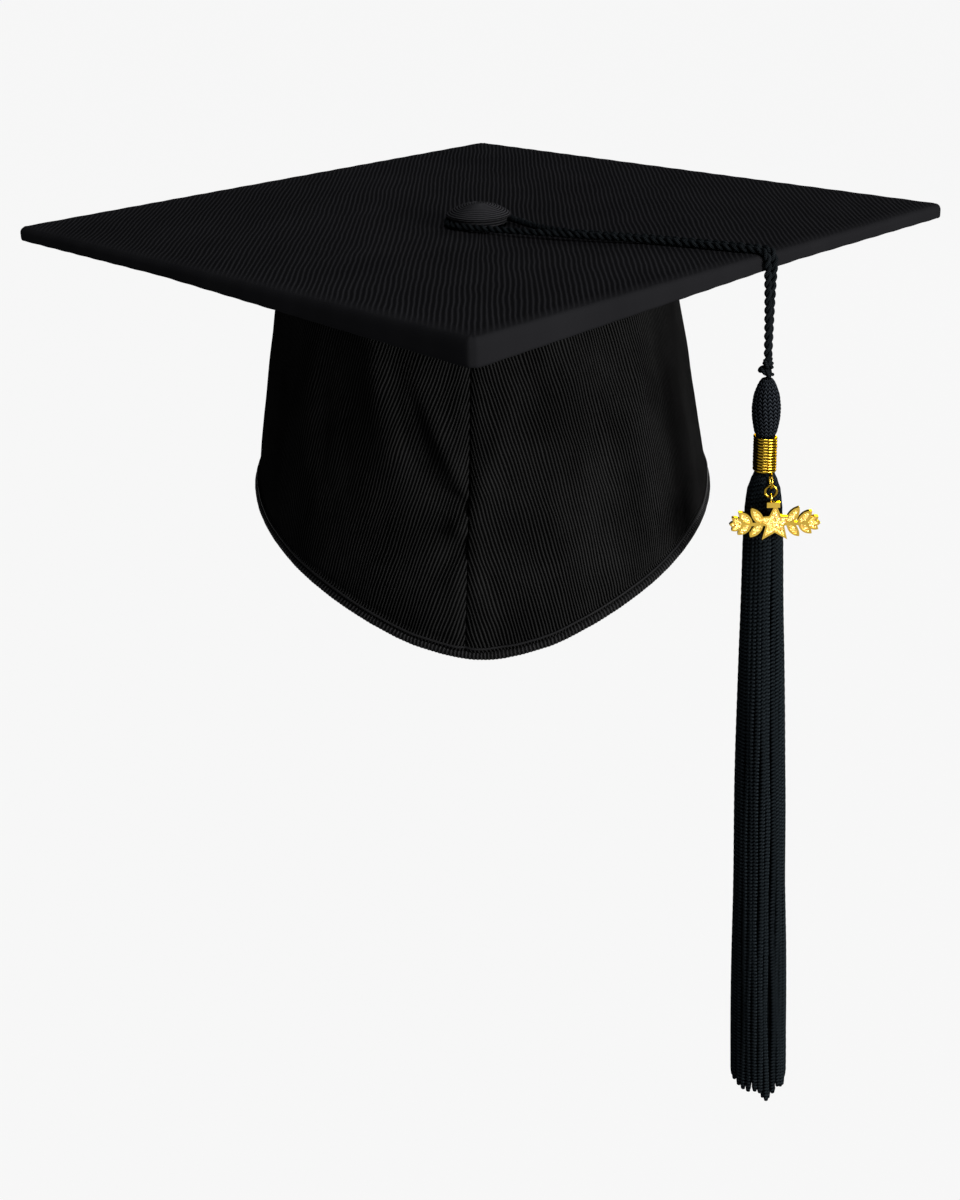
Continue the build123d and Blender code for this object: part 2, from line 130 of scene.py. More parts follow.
def grid_normals(g, closed_u=False):
    if closed_u:
        du = np.roll(g, -1, 0) - np.roll(g, 1, 0)
    else:
        du = np.gradient(g, axis=0)
    dv = np.gradient(g, axis=1)
    n = np.cross(du, dv)
    return n / np.maximum(np.linalg.norm(n, axis=-1, keepdims=True), 1e-9)


def frames_along(p, closed=False, guide=None):
    """Tangent, normal and binormal along points, carried without twist, or with the normal towards guide."""
    p = np.asarray(p, float)
    t = (np.roll(p, -1, 0) - np.roll(p, 1, 0)) if closed else np.gradient(p, axis=0)
    t /= np.maximum(np.linalg.norm(t, axis=1, keepdims=True), 1e-9)
    n = np.zeros_like(p)
    if guide is not None:
        g = np.asarray(guide, float)
        n = g - t * (g * t).sum(1, keepdims=True)
        n /= np.maximum(np.linalg.norm(n, axis=1, keepdims=True), 1e-9)
    else:
        a = np.array([0, 0, 1.0]) if abs(t[0, 2]) < 0.9 else np.array([1.0, 0, 0])
        c = a - t[0] * (a @ t[0])
        n[0] = c / np.linalg.norm(c)
        for i in range(1, len(p)):
            c = n[i - 1] - t[i] * (n[i - 1] @ t[i])
            n[i] = c / np.linalg.norm(c)
    return t, n, np.cross(t, n)


def tube_mesh(p, radius, sides=10, closed=False, guide=None, scale=None, caps=True, phase=0.0, squash=0.0, base=0):
    """Points and faces of a tube; radius is a number or one per point; scale is an optional (n, sides) factor."""
    p = np.asarray(p, float)
    t, n, b = frames_along(p, closed, guide)
    th = np.linspace(0, 2 * math.pi, sides, endpoint=False) + phase
    r = np.broadcast_to(np.asarray(radius, float).reshape(-1, 1), (len(p), 1)) * np.ones((1, sides))
    r = r * (1 + squash * np.cos(2 * th))[None, :]
    if scale is not None:
        r = r * scale
    v = p[:, None, :] + n[:, None, :] * (r * np.cos(th))[..., None] + b[:, None, :] * (r * np.sin(th))[..., None]
    f = [list(q) for q in grid_faces(len(p), sides, closed_u=closed, closed_v=True)]
    v = v.reshape(-1, 3)
    if caps and not closed:
        k = len(v)
        rr = float(np.mean(r[0])), float(np.mean(r[-1]))
        v = np.concatenate([v, (p[0] - t[0] * rr[0] * 0.45)[None], (p[-1] + t[-1] * rr[1] * 0.45)[None]])
        last = (len(p) - 1) * sides
        f += [[(j + 1) % sides, j, k] for j in range(sides)]
        f += [[last + j, last + (j + 1) % sides, k + 1] for j in range(sides)]
    if base:
        f = [[i + base for i in q] for q in f]
    return v, f


class Bag:
    """Collects meshes into one object, with a vector attribute for the material."""
    def __init__(self):
        self.v, self.f, self.a, self.n = [], [], [], 0

    def add(self, v, f, a=None):
        v = np.asarray(v, float).reshape(-1, 3)
        self.v.append(v)
        self.f += [[int(i) + self.n for i in q] for q in f]
        self.a.append(np.zeros((len(v), 3)) if a is None else np.broadcast_to(np.asarray(a, float), (len(v), 3)))
        self.n += len(v)

    def obj(self, name, key=None, **kw):
        return mesh_obj(name, np.concatenate(self.v), self.f, {key: np.concatenate(self.a)} if key else None, **kw)


def arc_length(p):
    return np.concatenate([[0], np.cumsum(np.linalg.norm(np.diff(p, axis=0), axis=1))])


def resample(p, step):
    s = arc_length(p)
    n = max(3, int(round(s[-1] / step)) + 1)
    q = np.linspace(0, s[-1], n)
    return np.stack([np.interp(q, s, p[:, i]) for i in range(3)], 1)


def gauss(x, w):
    return np.exp(-(x / w) ** 2)


def noise1(x, seed, octaves=4, base=1.0):
    """Smooth repeatable noise of a number, about -1 to 1."""
    r = np.random.default_rng(seed)
    out = 0.0
    for k in range(octaves):
        out = out + np.sin(x * base * (1.7 ** k) + r.uniform(0, 6.28)) * 0.62 ** k
    return out / 1.9


def noise2(x, y, seed, scale=1.0, octaves=5):
    r = np.random.default_rng(seed)
    out = 0.0
    for k in range(octaves):
        a = r.uniform(0, 6.28)
        f = scale * 1.6 ** k
        out = out + np.sin((x * math.cos(a) + y * math.sin(a)) * f + r.uniform(0, 6.28)) * np.cos(
            (x * math.cos(a + 1.3) + y * math.sin(a + 1.3)) * f * 0.8 + r.uniform(0, 6.28)) * 0.7 ** k
    return out / 1.8


# ------------------------------------------------------------------ materials
class Mat:
    def __init__(self, name):
        self.m = bpy.data.materials.new(name)
        self.m.use_nodes = True
        self.t = self.m.node_tree
        self.t.nodes.clear()
        self.out = self.t.nodes.new("ShaderNodeOutputMaterial")
        self.b = self.t.nodes.new("ShaderNodeBsdfPrincipled")
        self.t.links.new(self.b.outputs[0], self.out.inputs[0])

    def set(self, **kw):
        for k, v in kw.items():
            self.b.inputs[k.replace("_", " ")].default_value = v
        return self

    def node(self, kind, **props):
        n = self.t.nodes.new(kind)
        for k, v in props.items():
            setattr(n, k, v)
        return n

    def link(self, a, b):
        self.t.links.new(a, b)
        return a

    def put(self, sock, v):
        if isinstance(v, (int, float, tuple, list)):
            sock.default_value = v
        else:
            self.t.links.new(v, sock)

    def math(self, op, a, b=0.0, c=None):
        n = self.node("ShaderNodeMath", operation=op)
        self.put(n.inputs[0], a)
        self.put(n.inputs[1], b)
        if c is not None:
            self.put(n.inputs[2], c)
        return n.outputs[0]

    def attr(self, name):
        n = self.node("ShaderNodeAttribute", attribute_type="GEOMETRY", attribute_name=name)
        s = self.node("ShaderNodeSeparateXYZ")
        self.link(n.outputs["Vector"], s.inputs[0])
        return s.outputs[0], s.outputs[1], s.outputs[2]

    def objco(self):
        n = self.node("ShaderNodeTexCoord")
        s = self.node("ShaderNodeSeparateXYZ")
        self.link(n.outputs["Object"], s.inputs[0])
        return n.outputs["Object"], s.outputs[0], s.outputs[1], s.outputs[2]

    def vec(self, x, y, z):
        n = self.node("ShaderNodeCombineXYZ")
        for i, v in enumerate((x, y, z)):
            self.put(n.inputs[i], v)
        return n.outputs[0]

    def noise(self, vec, scale, detail=3.0, rough=0.55):
        n = self.node("ShaderNodeTexNoise")
        self.put(n.inputs["Vector"], vec)
        n.inputs["Scale"].default_value = scale
        n.inputs["Detail"].default_value = detail
        n.inputs["Roughness"].default_value = rough
        return n.outputs["Fac"]

    def ramp(self, fac, stops):
        n = self.node("ShaderNodeValToRGB")
        e = n.color_ramp.elements
        while len(e) < len(stops):
            e.new(0.5)
        for i, (p, c) in enumerate(stops):
            e[i].position = p
            e[i].color = tuple(c) + (1.0,) if len(c) == 3 else c
        self.put(n.inputs[0], fac)
        return n.outputs[0]

    def remap(self, v, a, b, c, d):
        n = self.node("ShaderNodeMapRange")
        self.put(n.inputs[0], v)
        for i, x in enumerate((a, b, c, d)):
            n.inputs[i + 1].default_value = x
        return n.outputs[0]

    def bump(self, height, dist, strength=1.0, normal=None):
        n = self.node("ShaderNodeBump")
        n.inputs["Strength"].default_value = strength
        n.inputs["Distance"].default_value = dist
        self.put(n.inputs["Height"], height)
        if normal is not None:
            self.link(normal, n.inputs["Normal"])
        return n.outputs[0]

    def color(self, sock):
        self.link(sock, self.b.inputs["Base Color"])

    def rough(self, sock):
        self.link(sock, self.b.inputs["Roughness"])

    def normal(self, sock):
        self.link(sock, self.b.inputs["Normal"])


def ribbed_satin(name, attr="rib", pitch=1.45, dark=(0.0016, 0.0016, 0.0018), lit=(0.0062, 0.0062, 0.0068), rough=0.42,
                 spec=0.22, sheen=0.05, depth=0.00016, objx=False, rib_gain=1.0, wobble=1.6, painted_sheen_patch=0.0):
    """Black satin with fine ribs: attribute x runs across the ribs, y along them (mm), z fades the ribs out."""
    a = Mat(name)
    if objx:
        co, ox, oy, oz = a.objco()
        x, y = a.math("MULTIPLY", ox, 1000.0), a.math("MULTIPLY", oy, 1000.0)
        fade = 1.0
    else:
        x, y, fade = a.attr(attr)
    wob = a.noise(a.vec(a.math("MULTIPLY", x, 0.06), a.math("MULTIPLY", y, 0.03), 0.0), 1.0, 2.0)
    xw = a.math("ADD", x, a.math("MULTIPLY", a.math("SUBTRACT", wob, 0.5), wobble))
    wave = a.math("SINE", a.math("MULTIPLY", xw, 2 * math.pi / pitch))
    wave = a.math("MULTIPLY_ADD", wave, 0.5, 0.5)
    crest = a.math("POWER", wave, 1.8)
    thread = a.noise(a.vec(a.math("MULTIPLY", x, 2.2), a.math("MULTIPLY", y, 0.55), 3.0), 2.0, 3.0, 0.65)
    slub = a.noise(a.vec(a.math("MULTIPLY", xw, 0.8), a.math("MULTIPLY", y, 0.05), 9.0), 1.0, 3.0)
    h = a.math("MULTIPLY", a.math("MULTIPLY", crest, a.remap(slub, 0.3, 0.7, 0.75, 1.15)), fade)
    h = a.math("ADD", h, a.math("MULTIPLY", thread, 0.02))
    broad = a.noise(a.vec(a.math("MULTIPLY", x, 0.02), a.math("MULTIPLY", y, 0.02), 5.0), 1.0, 3.0)
    # Where the ribs fade out towards the rolled edges, the tone is set flat and lighter than the ribbed mean: painted
    # sheen on the edge band.
    smooth = a.math("SUBTRACT", 1.0, fade)
    # Colour: the rib crests (crest times fade) are made lighter than the rib valleys, which is painted shade in the rib
    # valleys. The thread and broad noise add slow random tone changes.
    tone = a.math("ADD", a.math("MULTIPLY", a.math("MULTIPLY_ADD", smooth, 0.54, a.math("MULTIPLY", crest, fade)), 0.72 * rib_gain),
                  a.math("ADD", a.math("MULTIPLY", thread, 0.04), a.math("MULTIPLY", broad, 0.20)))
    # Large soft patches that scale the tone up and down: painted sheen mottling on the satin.
    if painted_sheen_patch:
        pt = a.noise(a.vec(a.math("MULTIPLY", x, 0.055), a.math("MULTIPLY", y, 0.032), 2.0), 1.0, 3.0, 0.5)
        tone = a.math("MULTIPLY", tone, a.remap(pt, 0.34, 0.66, 1.0 - painted_sheen_patch, 1.0 + painted_sheen_patch * 0.8))
    a.color(a.ramp(tone, [(0.10, dark), (0.88, lit)]))
    a.rough(a.remap(a.math("ADD", a.math("MULTIPLY", wave, 0.6), a.math("MULTIPLY", broad, 0.4)), 0.0, 1.0, rough + 0.12, rough - 0.04))
    a.normal(a.bump(h, depth))
    a.set(Specular_IOR_Level=spec, Sheen_Weight=sheen, Sheen_Roughness=0.35)
    a.b.inputs["Sheen Tint"].default_value = (0.75, 0.78, 0.85, 1)
    return a.m


def yarn_mat(name, dark, lit, pitch=0.32, rough=0.42, spec=0.45, sheen=0.15, mode="twist", depth=0.00006, glint=None):
    """Rayon yarn: attribute x is the distance along, y the angle round in turns, z a number for the strand."""
    a = Mat(name)
    x, y, z = a.attr("yarn")
    if mode == "twist":
        ph = a.math("ADD", a.math("MULTIPLY", x, 1.0 / pitch), a.math("MULTIPLY", y, 3.0))
        w = a.math("SINE", a.math("MULTIPLY", ph, 2 * math.pi))
    else:
        tri = a.math("ABSOLUTE", a.math("SUBTRACT", a.math("FRACT", a.math("MULTIPLY", y, 2.0)), 0.5))
        ph = a.math("ADD", a.math("MULTIPLY", x, 1.0 / pitch), a.math("MULTIPLY", tri, 1.1))
        w = a.math("SINE", a.math("MULTIPLY", ph, 2 * math.pi))
        edge = a.math("POWER", a.math("ABSOLUTE", a.math("SINE", a.math("MULTIPLY", y, 2 * math.pi))), 0.5)
        w = a.math("MULTIPLY", w, edge)
    # In tone mode the ridge height comes from the mesh in the attribute's y, and it sets the painted shade below.
    if mode == "tone":
        w = a.math("MULTIPLY_ADD", y, 2.0, -1.0)
    co, ox, oy, oz = a.objco()
    fib = a.noise(co, 2600.0, 2.0)
    big = a.noise(co, 45.0, 2.0)
    h = a.math("ADD", a.math("MULTIPLY_ADD", w, 0.5, 0.5), a.math("MULTIPLY", fib, 0.35))
    gain = 0.30 if mode == "twist" else 0.42
    # Colour follows the same ridge wave w as the bump, lighter on ridges and darker in grooves: painted shade between
    # fibres, loops and wound threads. The fibre noise and the number per strand add random tone.
    tone = a.math("ADD", a.math("MULTIPLY_ADD", w, gain, gain), a.math("ADD", a.math("MULTIPLY", fib, 0.12), a.math("MULTIPLY", a.math("FRACT", a.math("MULTIPLY", z, 7.31)), 0.14)))
    stops = [(0.12, dark), (0.95, lit)] if mode == "twist" else [(0.30, dark), (1.0, lit)]
    a.color(a.ramp(tone, stops))
    a.rough(a.remap(big, 0.3, 0.7, rough - 0.06, rough + 0.1))
    a.normal(a.bump(h, depth))
    a.set(Specular_IOR_Level=spec, Sheen_Weight=sheen, Sheen_Roughness=0.3)
    a.b.inputs["Sheen Tint"].default_value = (0.55, 0.78, 0.9, 1)
    return a.m


def gold_mat(name, rough=0.2, base=(0.86, 0.5, 0.10), bumpd=0.00002, scale=900.0):
    a = Mat(name)
    co, ox, oy, oz = a.objco()
    n = a.noise(co, scale, 3.0)
    n2 = a.noise(co, 160.0, 2.0)
    a.color(a.ramp(n2, [(0.3, tuple(c * 0.82 for c in base)), (0.7, base)]))
    a.rough(a.remap(n, 0.3, 0.7, rough - 0.05, rough + 0.08))
    a.normal(a.bump(n, bumpd))
    a.set(Metallic=1.0)
    a.b.inputs["Specular Tint"].default_value = (0.7, 0.5, 0.10, 1)
    return a.m


def cloth_mat(name, dark, lit, rough=0.75, weave=0.45, spec=0.25, sheen=0.1, depth=0.00005):
    """Plain woven cloth in object space."""
    a = Mat(name)
    co, ox, oy, oz = a.objco()
    k = 2 * math.pi / (weave * MM)
    wx = a.math("SINE", a.math("MULTIPLY", a.math("ADD", ox, a.math("MULTIPLY", oz, 0.35)), k))
    wz = a.math("SINE", a.math("MULTIPLY", a.math("ADD", oz, a.math("MULTIPLY", oy, 0.8)), k))
    n = a.noise(co, 900.0, 3.0)
    b = a.noise(co, 30.0, 3.0)
    h = a.math("ADD", a.math("MULTIPLY", a.math("MULTIPLY", wx, wz), 0.5), n)
    a.color(a.ramp(a.math("ADD", a.math("MULTIPLY", n, 0.5), a.math("MULTIPLY", b, 0.5)), [(0.3, dark), (0.7, lit)]))
    a.rough(a.remap(b, 0.3, 0.7, rough - 0.05, rough + 0.08))
    a.normal(a.bump(h, depth))
    a.set(Specular_IOR_Level=spec, Sheen_Weight=sheen)
    return a.m


MAT = {}
MAT["board"] = ribbed_satin("gown_satin_board", pitch=1.68, dark=(0.0016, 0.0016, 0.0018), lit=(0.0056, 0.0056, 0.0062), rough=0.55, spec=0.0, sheen=0.0, depth=0.00014, wobble=2.0, painted_sheen_patch=0.10)
MAT["crown"] = ribbed_satin("gown_satin_crown", pitch=1.22, dark=(0.0001, 0.0001, 0.0001), lit=(0.0062, 0.0062, 0.0063), rough=0.42, spec=0.0, sheen=0.0, depth=0.00026, wobble=3.0, painted_sheen_patch=0.20)
MAT["under"] = ribbed_satin("gown_satin_underside", pitch=1.68, objx=True, dark=(0.0006, 0.0006, 0.0007), lit=(0.004, 0.004, 0.0044), rough=0.5, spec=0.0, sheen=0.0)
MAT["piping"] = ribbed_satin("gown_satin_piping", pitch=1.28, dark=(0.0006, 0.0006, 0.0006), lit=(0.0085, 0.0085, 0.009), rough=0.36, spec=0.006, sheen=0.0, depth=0.00016, rib_gain=0.9)
MAT["cord"] = yarn_mat("tassel_rayon_cord", (0.0004, 0.0005, 0.0006), (0.0064, 0.0076, 0.0086), pitch=0.42, rough=0.45, spec=0.0, sheen=0.0)
MAT["braid"] = yarn_mat("tassel_braid", (0.0001, 0.0001, 0.0002), (0.0120, 0.0140, 0.0170), pitch=0.5, rough=0.42, spec=0.0, sheen=0.0, mode="tone")
MAT["skirt"] = yarn_mat("tassel_chainette", (0.0001, 0.0001, 0.0002), (0.0076, 0.0100, 0.0117), pitch=1.45, rough=0.42, spec=0.0, sheen=0.0, mode="chain", depth=0.00022)
MAT["button"] = yarn_mat("button_wound_thread", (0.0006, 0.0006, 0.0007), (0.0110, 0.0110, 0.0120), pitch=0.5, rough=0.5, spec=0.0, sheen=0.0, mode="tone")
MAT["gold_wire"] = gold_mat("gold_wire", 0.17, (0.30, 0.19, 0.018))
MAT["gold_charm"] = gold_mat("gold_charm_polished", 0.16, (0.68, 0.45, 0.070))
MAT["lining"] = cloth_mat("black_lining", (0.004, 0.004, 0.0045), (0.009, 0.009, 0.01))
MAT["band"] = cloth_mat("sweatband_tape", (0.006, 0.006, 0.007), (0.014, 0.014, 0.016), rough=0.85, weave=0.8, sheen=0.2, depth=0.0001)
MAT["elastic"] = cloth_mat("woven_elastic", (0.012, 0.012, 0.013), (0.028, 0.028, 0.03), rough=0.7, weave=1.2, depth=0.00018)
MAT["label"] = cloth_mat("label_satin", (0.62, 0.62, 0.60), (0.74, 0.74, 0.71), rough=0.45, weave=0.35)
MAT["thread"] = cloth_mat("sewing_thread", (0.012, 0.012, 0.013), (0.03, 0.03, 0.033), rough=0.5, weave=0.25)


def glitter_material():
    a = Mat("gold_glitter")
    co, ox, oy, oz = a.objco()
    v = a.node("ShaderNodeTexVoronoi")
    a.link(co, v.inputs["Vector"])
    v.inputs["Scale"].default_value = 3200.0
    s = a.node("ShaderNodeSeparateXYZ")
    a.link(v.outputs["Color"], s.inputs[0])
    a.color(a.ramp(s.outputs[0], [(0.0, (0.42, 0.22, 0.03)), (0.5, (0.80, 0.52, 0.13)), (1.0, (1.0, 0.80, 0.36))]))
    a.rough(a.remap(s.outputs[1], 0.0, 1.0, 0.16, 0.5))
    a.normal(a.bump(v.outputs["Distance"], 0.00008))
    a.set(Metallic=1.0)
    return a.m


MAT["glitter"] = glitter_material()


def plain(name, base, rough, metallic=0.0, noise_scale=400.0, depth=0.00003, var=0.75):
    a = Mat(name)
    co, ox, oy, oz = a.objco()
    n = a.noise(co, noise_scale, 4.0)
    a.color(a.ramp(n, [(0.3, tuple(c * var for c in base)), (0.7, base)]))
    a.rough(a.remap(n, 0.3, 0.7, rough - 0.06, rough + 0.08))
    a.normal(a.bump(n, depth))
    a.set(Metallic=metallic)
    return a.m


MAT["board_plastic"] = plain("board_sheet", (0.05, 0.05, 0.052), 0.55)
MAT["metal"] = plain("button_steel", (0.55, 0.55, 0.56), 0.32, 1.0, 1500.0)
MAT["metal_black"] = plain("button_plate_black", (0.006, 0.006, 0.006), 0.6, 0.0, 1500.0)
MAT["metal_black"].node_tree.nodes["Principled BSDF"].inputs["Specular IOR Level"].default_value = 0.02
MAT["bead"] = plain("turned_wood_bead", (0.5, 0.33, 0.18), 0.6, 0.0, 300.0)
MAT["filler"] = cloth_mat("cotton_filler_cord", (0.45, 0.43, 0.38), (0.6, 0.58, 0.52), rough=0.9, weave=0.6)


def finish_piece(ob, mat, body=None, replaces=()):
    ob.data.materials.clear()
    ob.data.materials.append(MAT[mat])
    if body:
        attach(ob, body)
    if replaces:
        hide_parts(*replaces)
    return ob


# ------------------------------------------------------------------ tassel cord
def nt(n, t, z):
    return (Q2 * n + Q2 * t, -Q2 * n + Q2 * t, z)


BN, BT = 4.2426, -4.2426
Z_CORD, Z_DISH, HN, ET = 106.42, 103.92, 122.1, 13.0
TURN_R = 12.231


def polar(deg, z):
    a = math.radians(deg)
    return nt(BN + TURN_R * math.cos(a), BT + TURN_R * math.sin(a), z)


def side_down(s):
    """Control points from the knot up one drop and over the edge."""
    def turned(off, deg, z):
        a = math.radians(deg)
        return nt(HN - s * off * math.sin(a), ET + s * off * math.cos(a), z)

    return [
        turned(1.28, 30, 68.6), turned(1.30, 28, 73.3), turned(1.42, 22, 83.3), turned(1.62, 12, 94.5),
        nt(HN, ET + s * 1.70, 100.9), nt(HN, ET + s * 1.70, 103.7), nt(121.5, ET + s * 1.70, 105.2), nt(120.4, ET + s * 1.70, 106.15),
        nt(118.05, ET + s * 1.70, 106.45),
    ]


route = side_down(1)
route += [nt(80.0, 4.4, 106.54), nt(53.0, -2.15, 105.62), nt(34.0, -2.2, 104.85)]
route += [polar(d, Z_DISH + (0.25 if 100 < d < 260 else 0.3)) for d in (67.5, 112.5, 157.5, 202.5, 247.5, 292.5)]
route += [nt(42.0, -7.95, 105.22), nt(79.0, 1.1, 106.54)]
route += side_down(-1)[::-1]


def nurbs_points(name, pts):
    """Points of a smooth order 3 NURBS line through millimetre control points."""
    cu = bpy.data.curves.new(name, "CURVE")
    cu.dimensions = "3D"
    cu.resolution_u = 24
    sp = cu.splines.new("NURBS")
    sp.points.add(len(pts) - 1)
    for q, p in zip(sp.points, pts):
        q.co = (p[0] * MM, p[1] * MM, p[2] * MM, 1.0)
    sp.order_u = 3
    sp.use_endpoint_u = True
    ob = bpy.data.objects.new(name, cu)
    SC.collection.objects.link(ob)
    bpy.context.view_layer.update()
    dg = bpy.context.evaluated_depsgraph_get()
    me = bpy.data.meshes.new_from_object(ob.evaluated_get(dg))
    out = np.array([v.co[:] for v in me.vertices], float) / MM
    bpy.data.meshes.remove(me)
    bpy.data.objects.remove(ob)
    bpy.data.curves.remove(cu)
    return out


line = nurbs_points("cord_route", route)
line = resample(line, 0.30)
S = arc_length(line)
t_, n_, b_ = frames_along(line)
LAY = 5.8
PLY_C, PLY_R = 0.64, 0.67


def plies(i0, i1, plies_n=2, sides=12):
    bag = Bag()
    for k in range(plies_n):
        ph = 2 * math.pi * (S[i0:i1] / LAY + k / plies_n)
        c = line[i0:i1] + PLY_C * (n_[i0:i1] * np.cos(ph)[:, None] + b_[i0:i1] * np.sin(ph)[:, None])
        v, f = tube_mesh(c, PLY_R, sides)
        a = np.zeros((len(v), 3))
        m_ = len(c) * sides
        a[:m_, 0] = np.repeat(arc_length(c) + S[i0], sides)
        a[:m_, 1] = np.tile(np.arange(sides) / sides, len(c))
        a[:, 2] = k * 0.37
        a[m_:, 0] = (S[i0], S[i1 - 1])
        bag.add(v, f, a)
    return bag


cut = 101.0
mid = len(line) // 2
ir = int(np.argmax(line[:, 2] > cut))
jf = len(line) - int(np.argmax(line[::-1, 2] > cut))
loop = plies(ir, jf).obj("tassel_cord_loop_strands", "yarn")
rear = plies(0, ir + 1).obj("cord_drop_rear_strands", "yarn")
front = plies(jf - 1, len(line)).obj("cord_drop_front_strands", "yarn")
for o in (loop, rear, front):
    finish_piece(o, "cord")
tuple(MM * c for c in nt(116.8, ET, 106.6))
tuple(MM * c for c in nt(121.8, ET, 103.2))
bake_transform(loop)
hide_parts("tassel_cord_loop", "cord_bend_over_edge")
for o, n in ((rear, "cord_drop_rear"), (front, "cord_drop_front")):
    tuple(MM * c for c in nt(HN, ET, 101.0))
    tuple(MM * c for c in nt(HN, ET, 93.0))
    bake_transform(o)
    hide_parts(n)

# Knot: the doubled cord wrapped round itself above the head.
TX, TY = 95.509, -77.124
knot_bag = Bag()


def strand_tube(path, ply_c, ply_r, lay, sides=9, z=0.0):
    path = np.asarray(path, float)
    t, n, b = frames_along(path)
    s = arc_length(path)
    for k in range(2):
        ph = 2 * math.pi * (s / lay + k / 2)
        c = path + ply_c * (n * np.cos(ph)[:, None] + b * np.sin(ph)[:, None])
        v, f = tube_mesh(c, ply_r, sides)
        a = np.zeros((len(v), 3))
        m_ = len(c) * sides
        a[:m_, 0] = np.repeat(s, sides)
        a[:m_, 1] = np.tile(np.arange(sides) / sides, len(c))
        a[:, 2] = z + k * 0.2
        yield v, f, a


u = np.linspace(0, 1, 90)
ang = 2 * math.pi * (1.55 * u) - 2.2
kx = TX - 0.55 + 1.72 * np.cos(ang)
ky = TY - 0.2 + 1.62 * np.sin(ang)
kz = 69.2 - 4.9 * u + 0.5 * np.sin(2 * ang)
for part in strand_tube(np.stack([kx, ky, kz], 1), 0.52, 0.56, 4.6, z=0.1):
    knot_bag.add(*part)
u = np.linspace(0, 1, 40)
for s, zz in ((1, 0.5), (-1, 0.8)):
    bend = np.sin(u * math.pi)
    p = np.stack([TX + s * 0.85 * (1 - u) + 0.35 * bend, TY + s * 0.85 * (1 - u) - 0.3 * bend, 70.2 - 7.6 * u], 1)
    for part in strand_tube(p, 0.42, 0.46, 5.0, z=zz):
        knot_bag.add(*part)
knot = finish_piece(knot_bag.obj("tassel_knot_wrap", "yarn"), "cord", "tassel", ("tassel_knot",))

lp = line[ir:jf]
float(arc_length(lp)[-1] * MM)
for o, pts in ((rear, line[:ir + 1][::-1]), (front, line[jf - 1:])):
    float(arc_length(pts)[-1] * MM)
    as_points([tuple(p * MM) for p in pts[::3]] + [tuple(pts[-1] * MM)])

# ------------------------------------------------------------------ board
HALF = 120.65


def square_ring(h, r, side_n=90, arc_n=10):
    """Rounded square of half side h and corner radius r, turned 45 degrees, always the same number of points."""
    out = []
    for q in range(4):
        a0 = math.radians(90 * q)
        dx, dy = math.cos(a0), math.sin(a0)
        sx, sy = -dy, dx
        for k in range(side_n):
            s = -(h - r) + 2 * (h - r) * k / side_n
            out.append((dx * h + sx * s, dy * h + sy * s))
        for k in range(arc_n):
            b = a0 + math.radians(90 * k / arc_n)
            cx, cy = (dx + sx) * (h - r), (dy + sy) * (h - r)
            out.append((cx + r * math.cos(b), cy + r * math.sin(b)))
    p = np.array(out)
    return np.stack([Q2 * (p[:, 0] + p[:, 1]), Q2 * (p[:, 1] - p[:, 0])], 1)


def sag(x, y):
    """The cover hangs a little below the board along the two front edges, most at the front corner."""
    s = np.minimum(np.hypot(x, y + 170.6), 400.0)
    return 4.0 * np.clip(1 - s / 150.0, 0, 1)


rows = [(1.95, 100.75), (1.9, 100.15)]
rows += [(0.95 - 0.95 * math.sin(math.radians(a)), 100.95 - 0.95 * math.cos(math.radians(a))) for a in (0, 25, 50, 72, 90)]
rows += [(0.0, 101.7), (0.0, 102.4), (0.0, 103.0)]
rows += [(2 - 2 * math.cos(math.radians(a)), 103 + 2 * math.sin(math.radians(a))) for a in (14, 28, 42, 56, 70, 82)]
w = 2.3
step = 0.8
while w < HALF - 2:
    rows.append((w, 105.0))
    w += step
    step = min(2.1, step * 1.18)
rows.append((HALF - 1.2, 105.0))
grid = []
for w, z in rows:
    h = HALF - w
    r = min(max(4.0 - w, 1.2) + max(0.0, w - 60) * 0.5, h * 0.98)
    xy = square_ring(h, r)
    grid.append(np.column_stack([xy, np.full(len(xy), z)]))
G = np.array(grid)                      # rows x ring
wv = np.array([w for w, z in rows])[:, None]
X, Y = G[..., 0], G[..., 1]
top = (G[..., 2] > 104.5) * np.clip((wv - 1.2) / 2.0, 0, 1)
d = np.hypot(X, Y + 6.0)
DR = (75.0 ** 2 + 2.5 ** 2) / 5.0
dz = -(2.5 - d * d / (2 * DR))
dz = np.where(d < 75, dz, 0.0)
soft = -0.5 * (2.5 - d * d / (2 * DR) + np.sqrt((2.5 - d * d / (2 * DR)) ** 2 + 0.09))
th = np.arctan2(Y + 6.0, X)
puck = 0.22 * np.exp(-np.maximum(d - 11.5, 0) / 13.0) * (np.cos(9 * th + 0.6) + 0.5 * np.cos(16 * th + 1.9)) * np.clip((d - 9) / 5, 0, 1)
roll_pad = 0.20 * gauss(wv - 5.0, 3.2)
wavy = 0.10 * noise2(X, Y, 3, 0.045) * np.clip((wv - 3) / 10, 0, 1)
corner = np.minimum(np.abs(np.abs(X) - 169), np.abs(np.abs(Y) - 169))
crease = 0.10 * gauss(np.minimum(np.abs(X), np.abs(Y)), 5.0) * np.clip((wv - 3) / 6, 0, 1) * gauss(wv - 14, 22)
G[..., 2] += top * (soft + puck + roll_pad + wavy + crease)
G[..., 2] -= sag(X, Y) * np.interp(G[..., 2], [100.0, 102.4, 103.4, 104.5], [1.0, 0.84, 0.36, 0.0])
nrm = grid_normals(np.transpose(G, (1, 0, 2)), closed_u=True)
Gt = np.transpose(G, (1, 0, 2))
if (nrm[:, -10, 2]).mean() < 0:
    nrm = -nrm
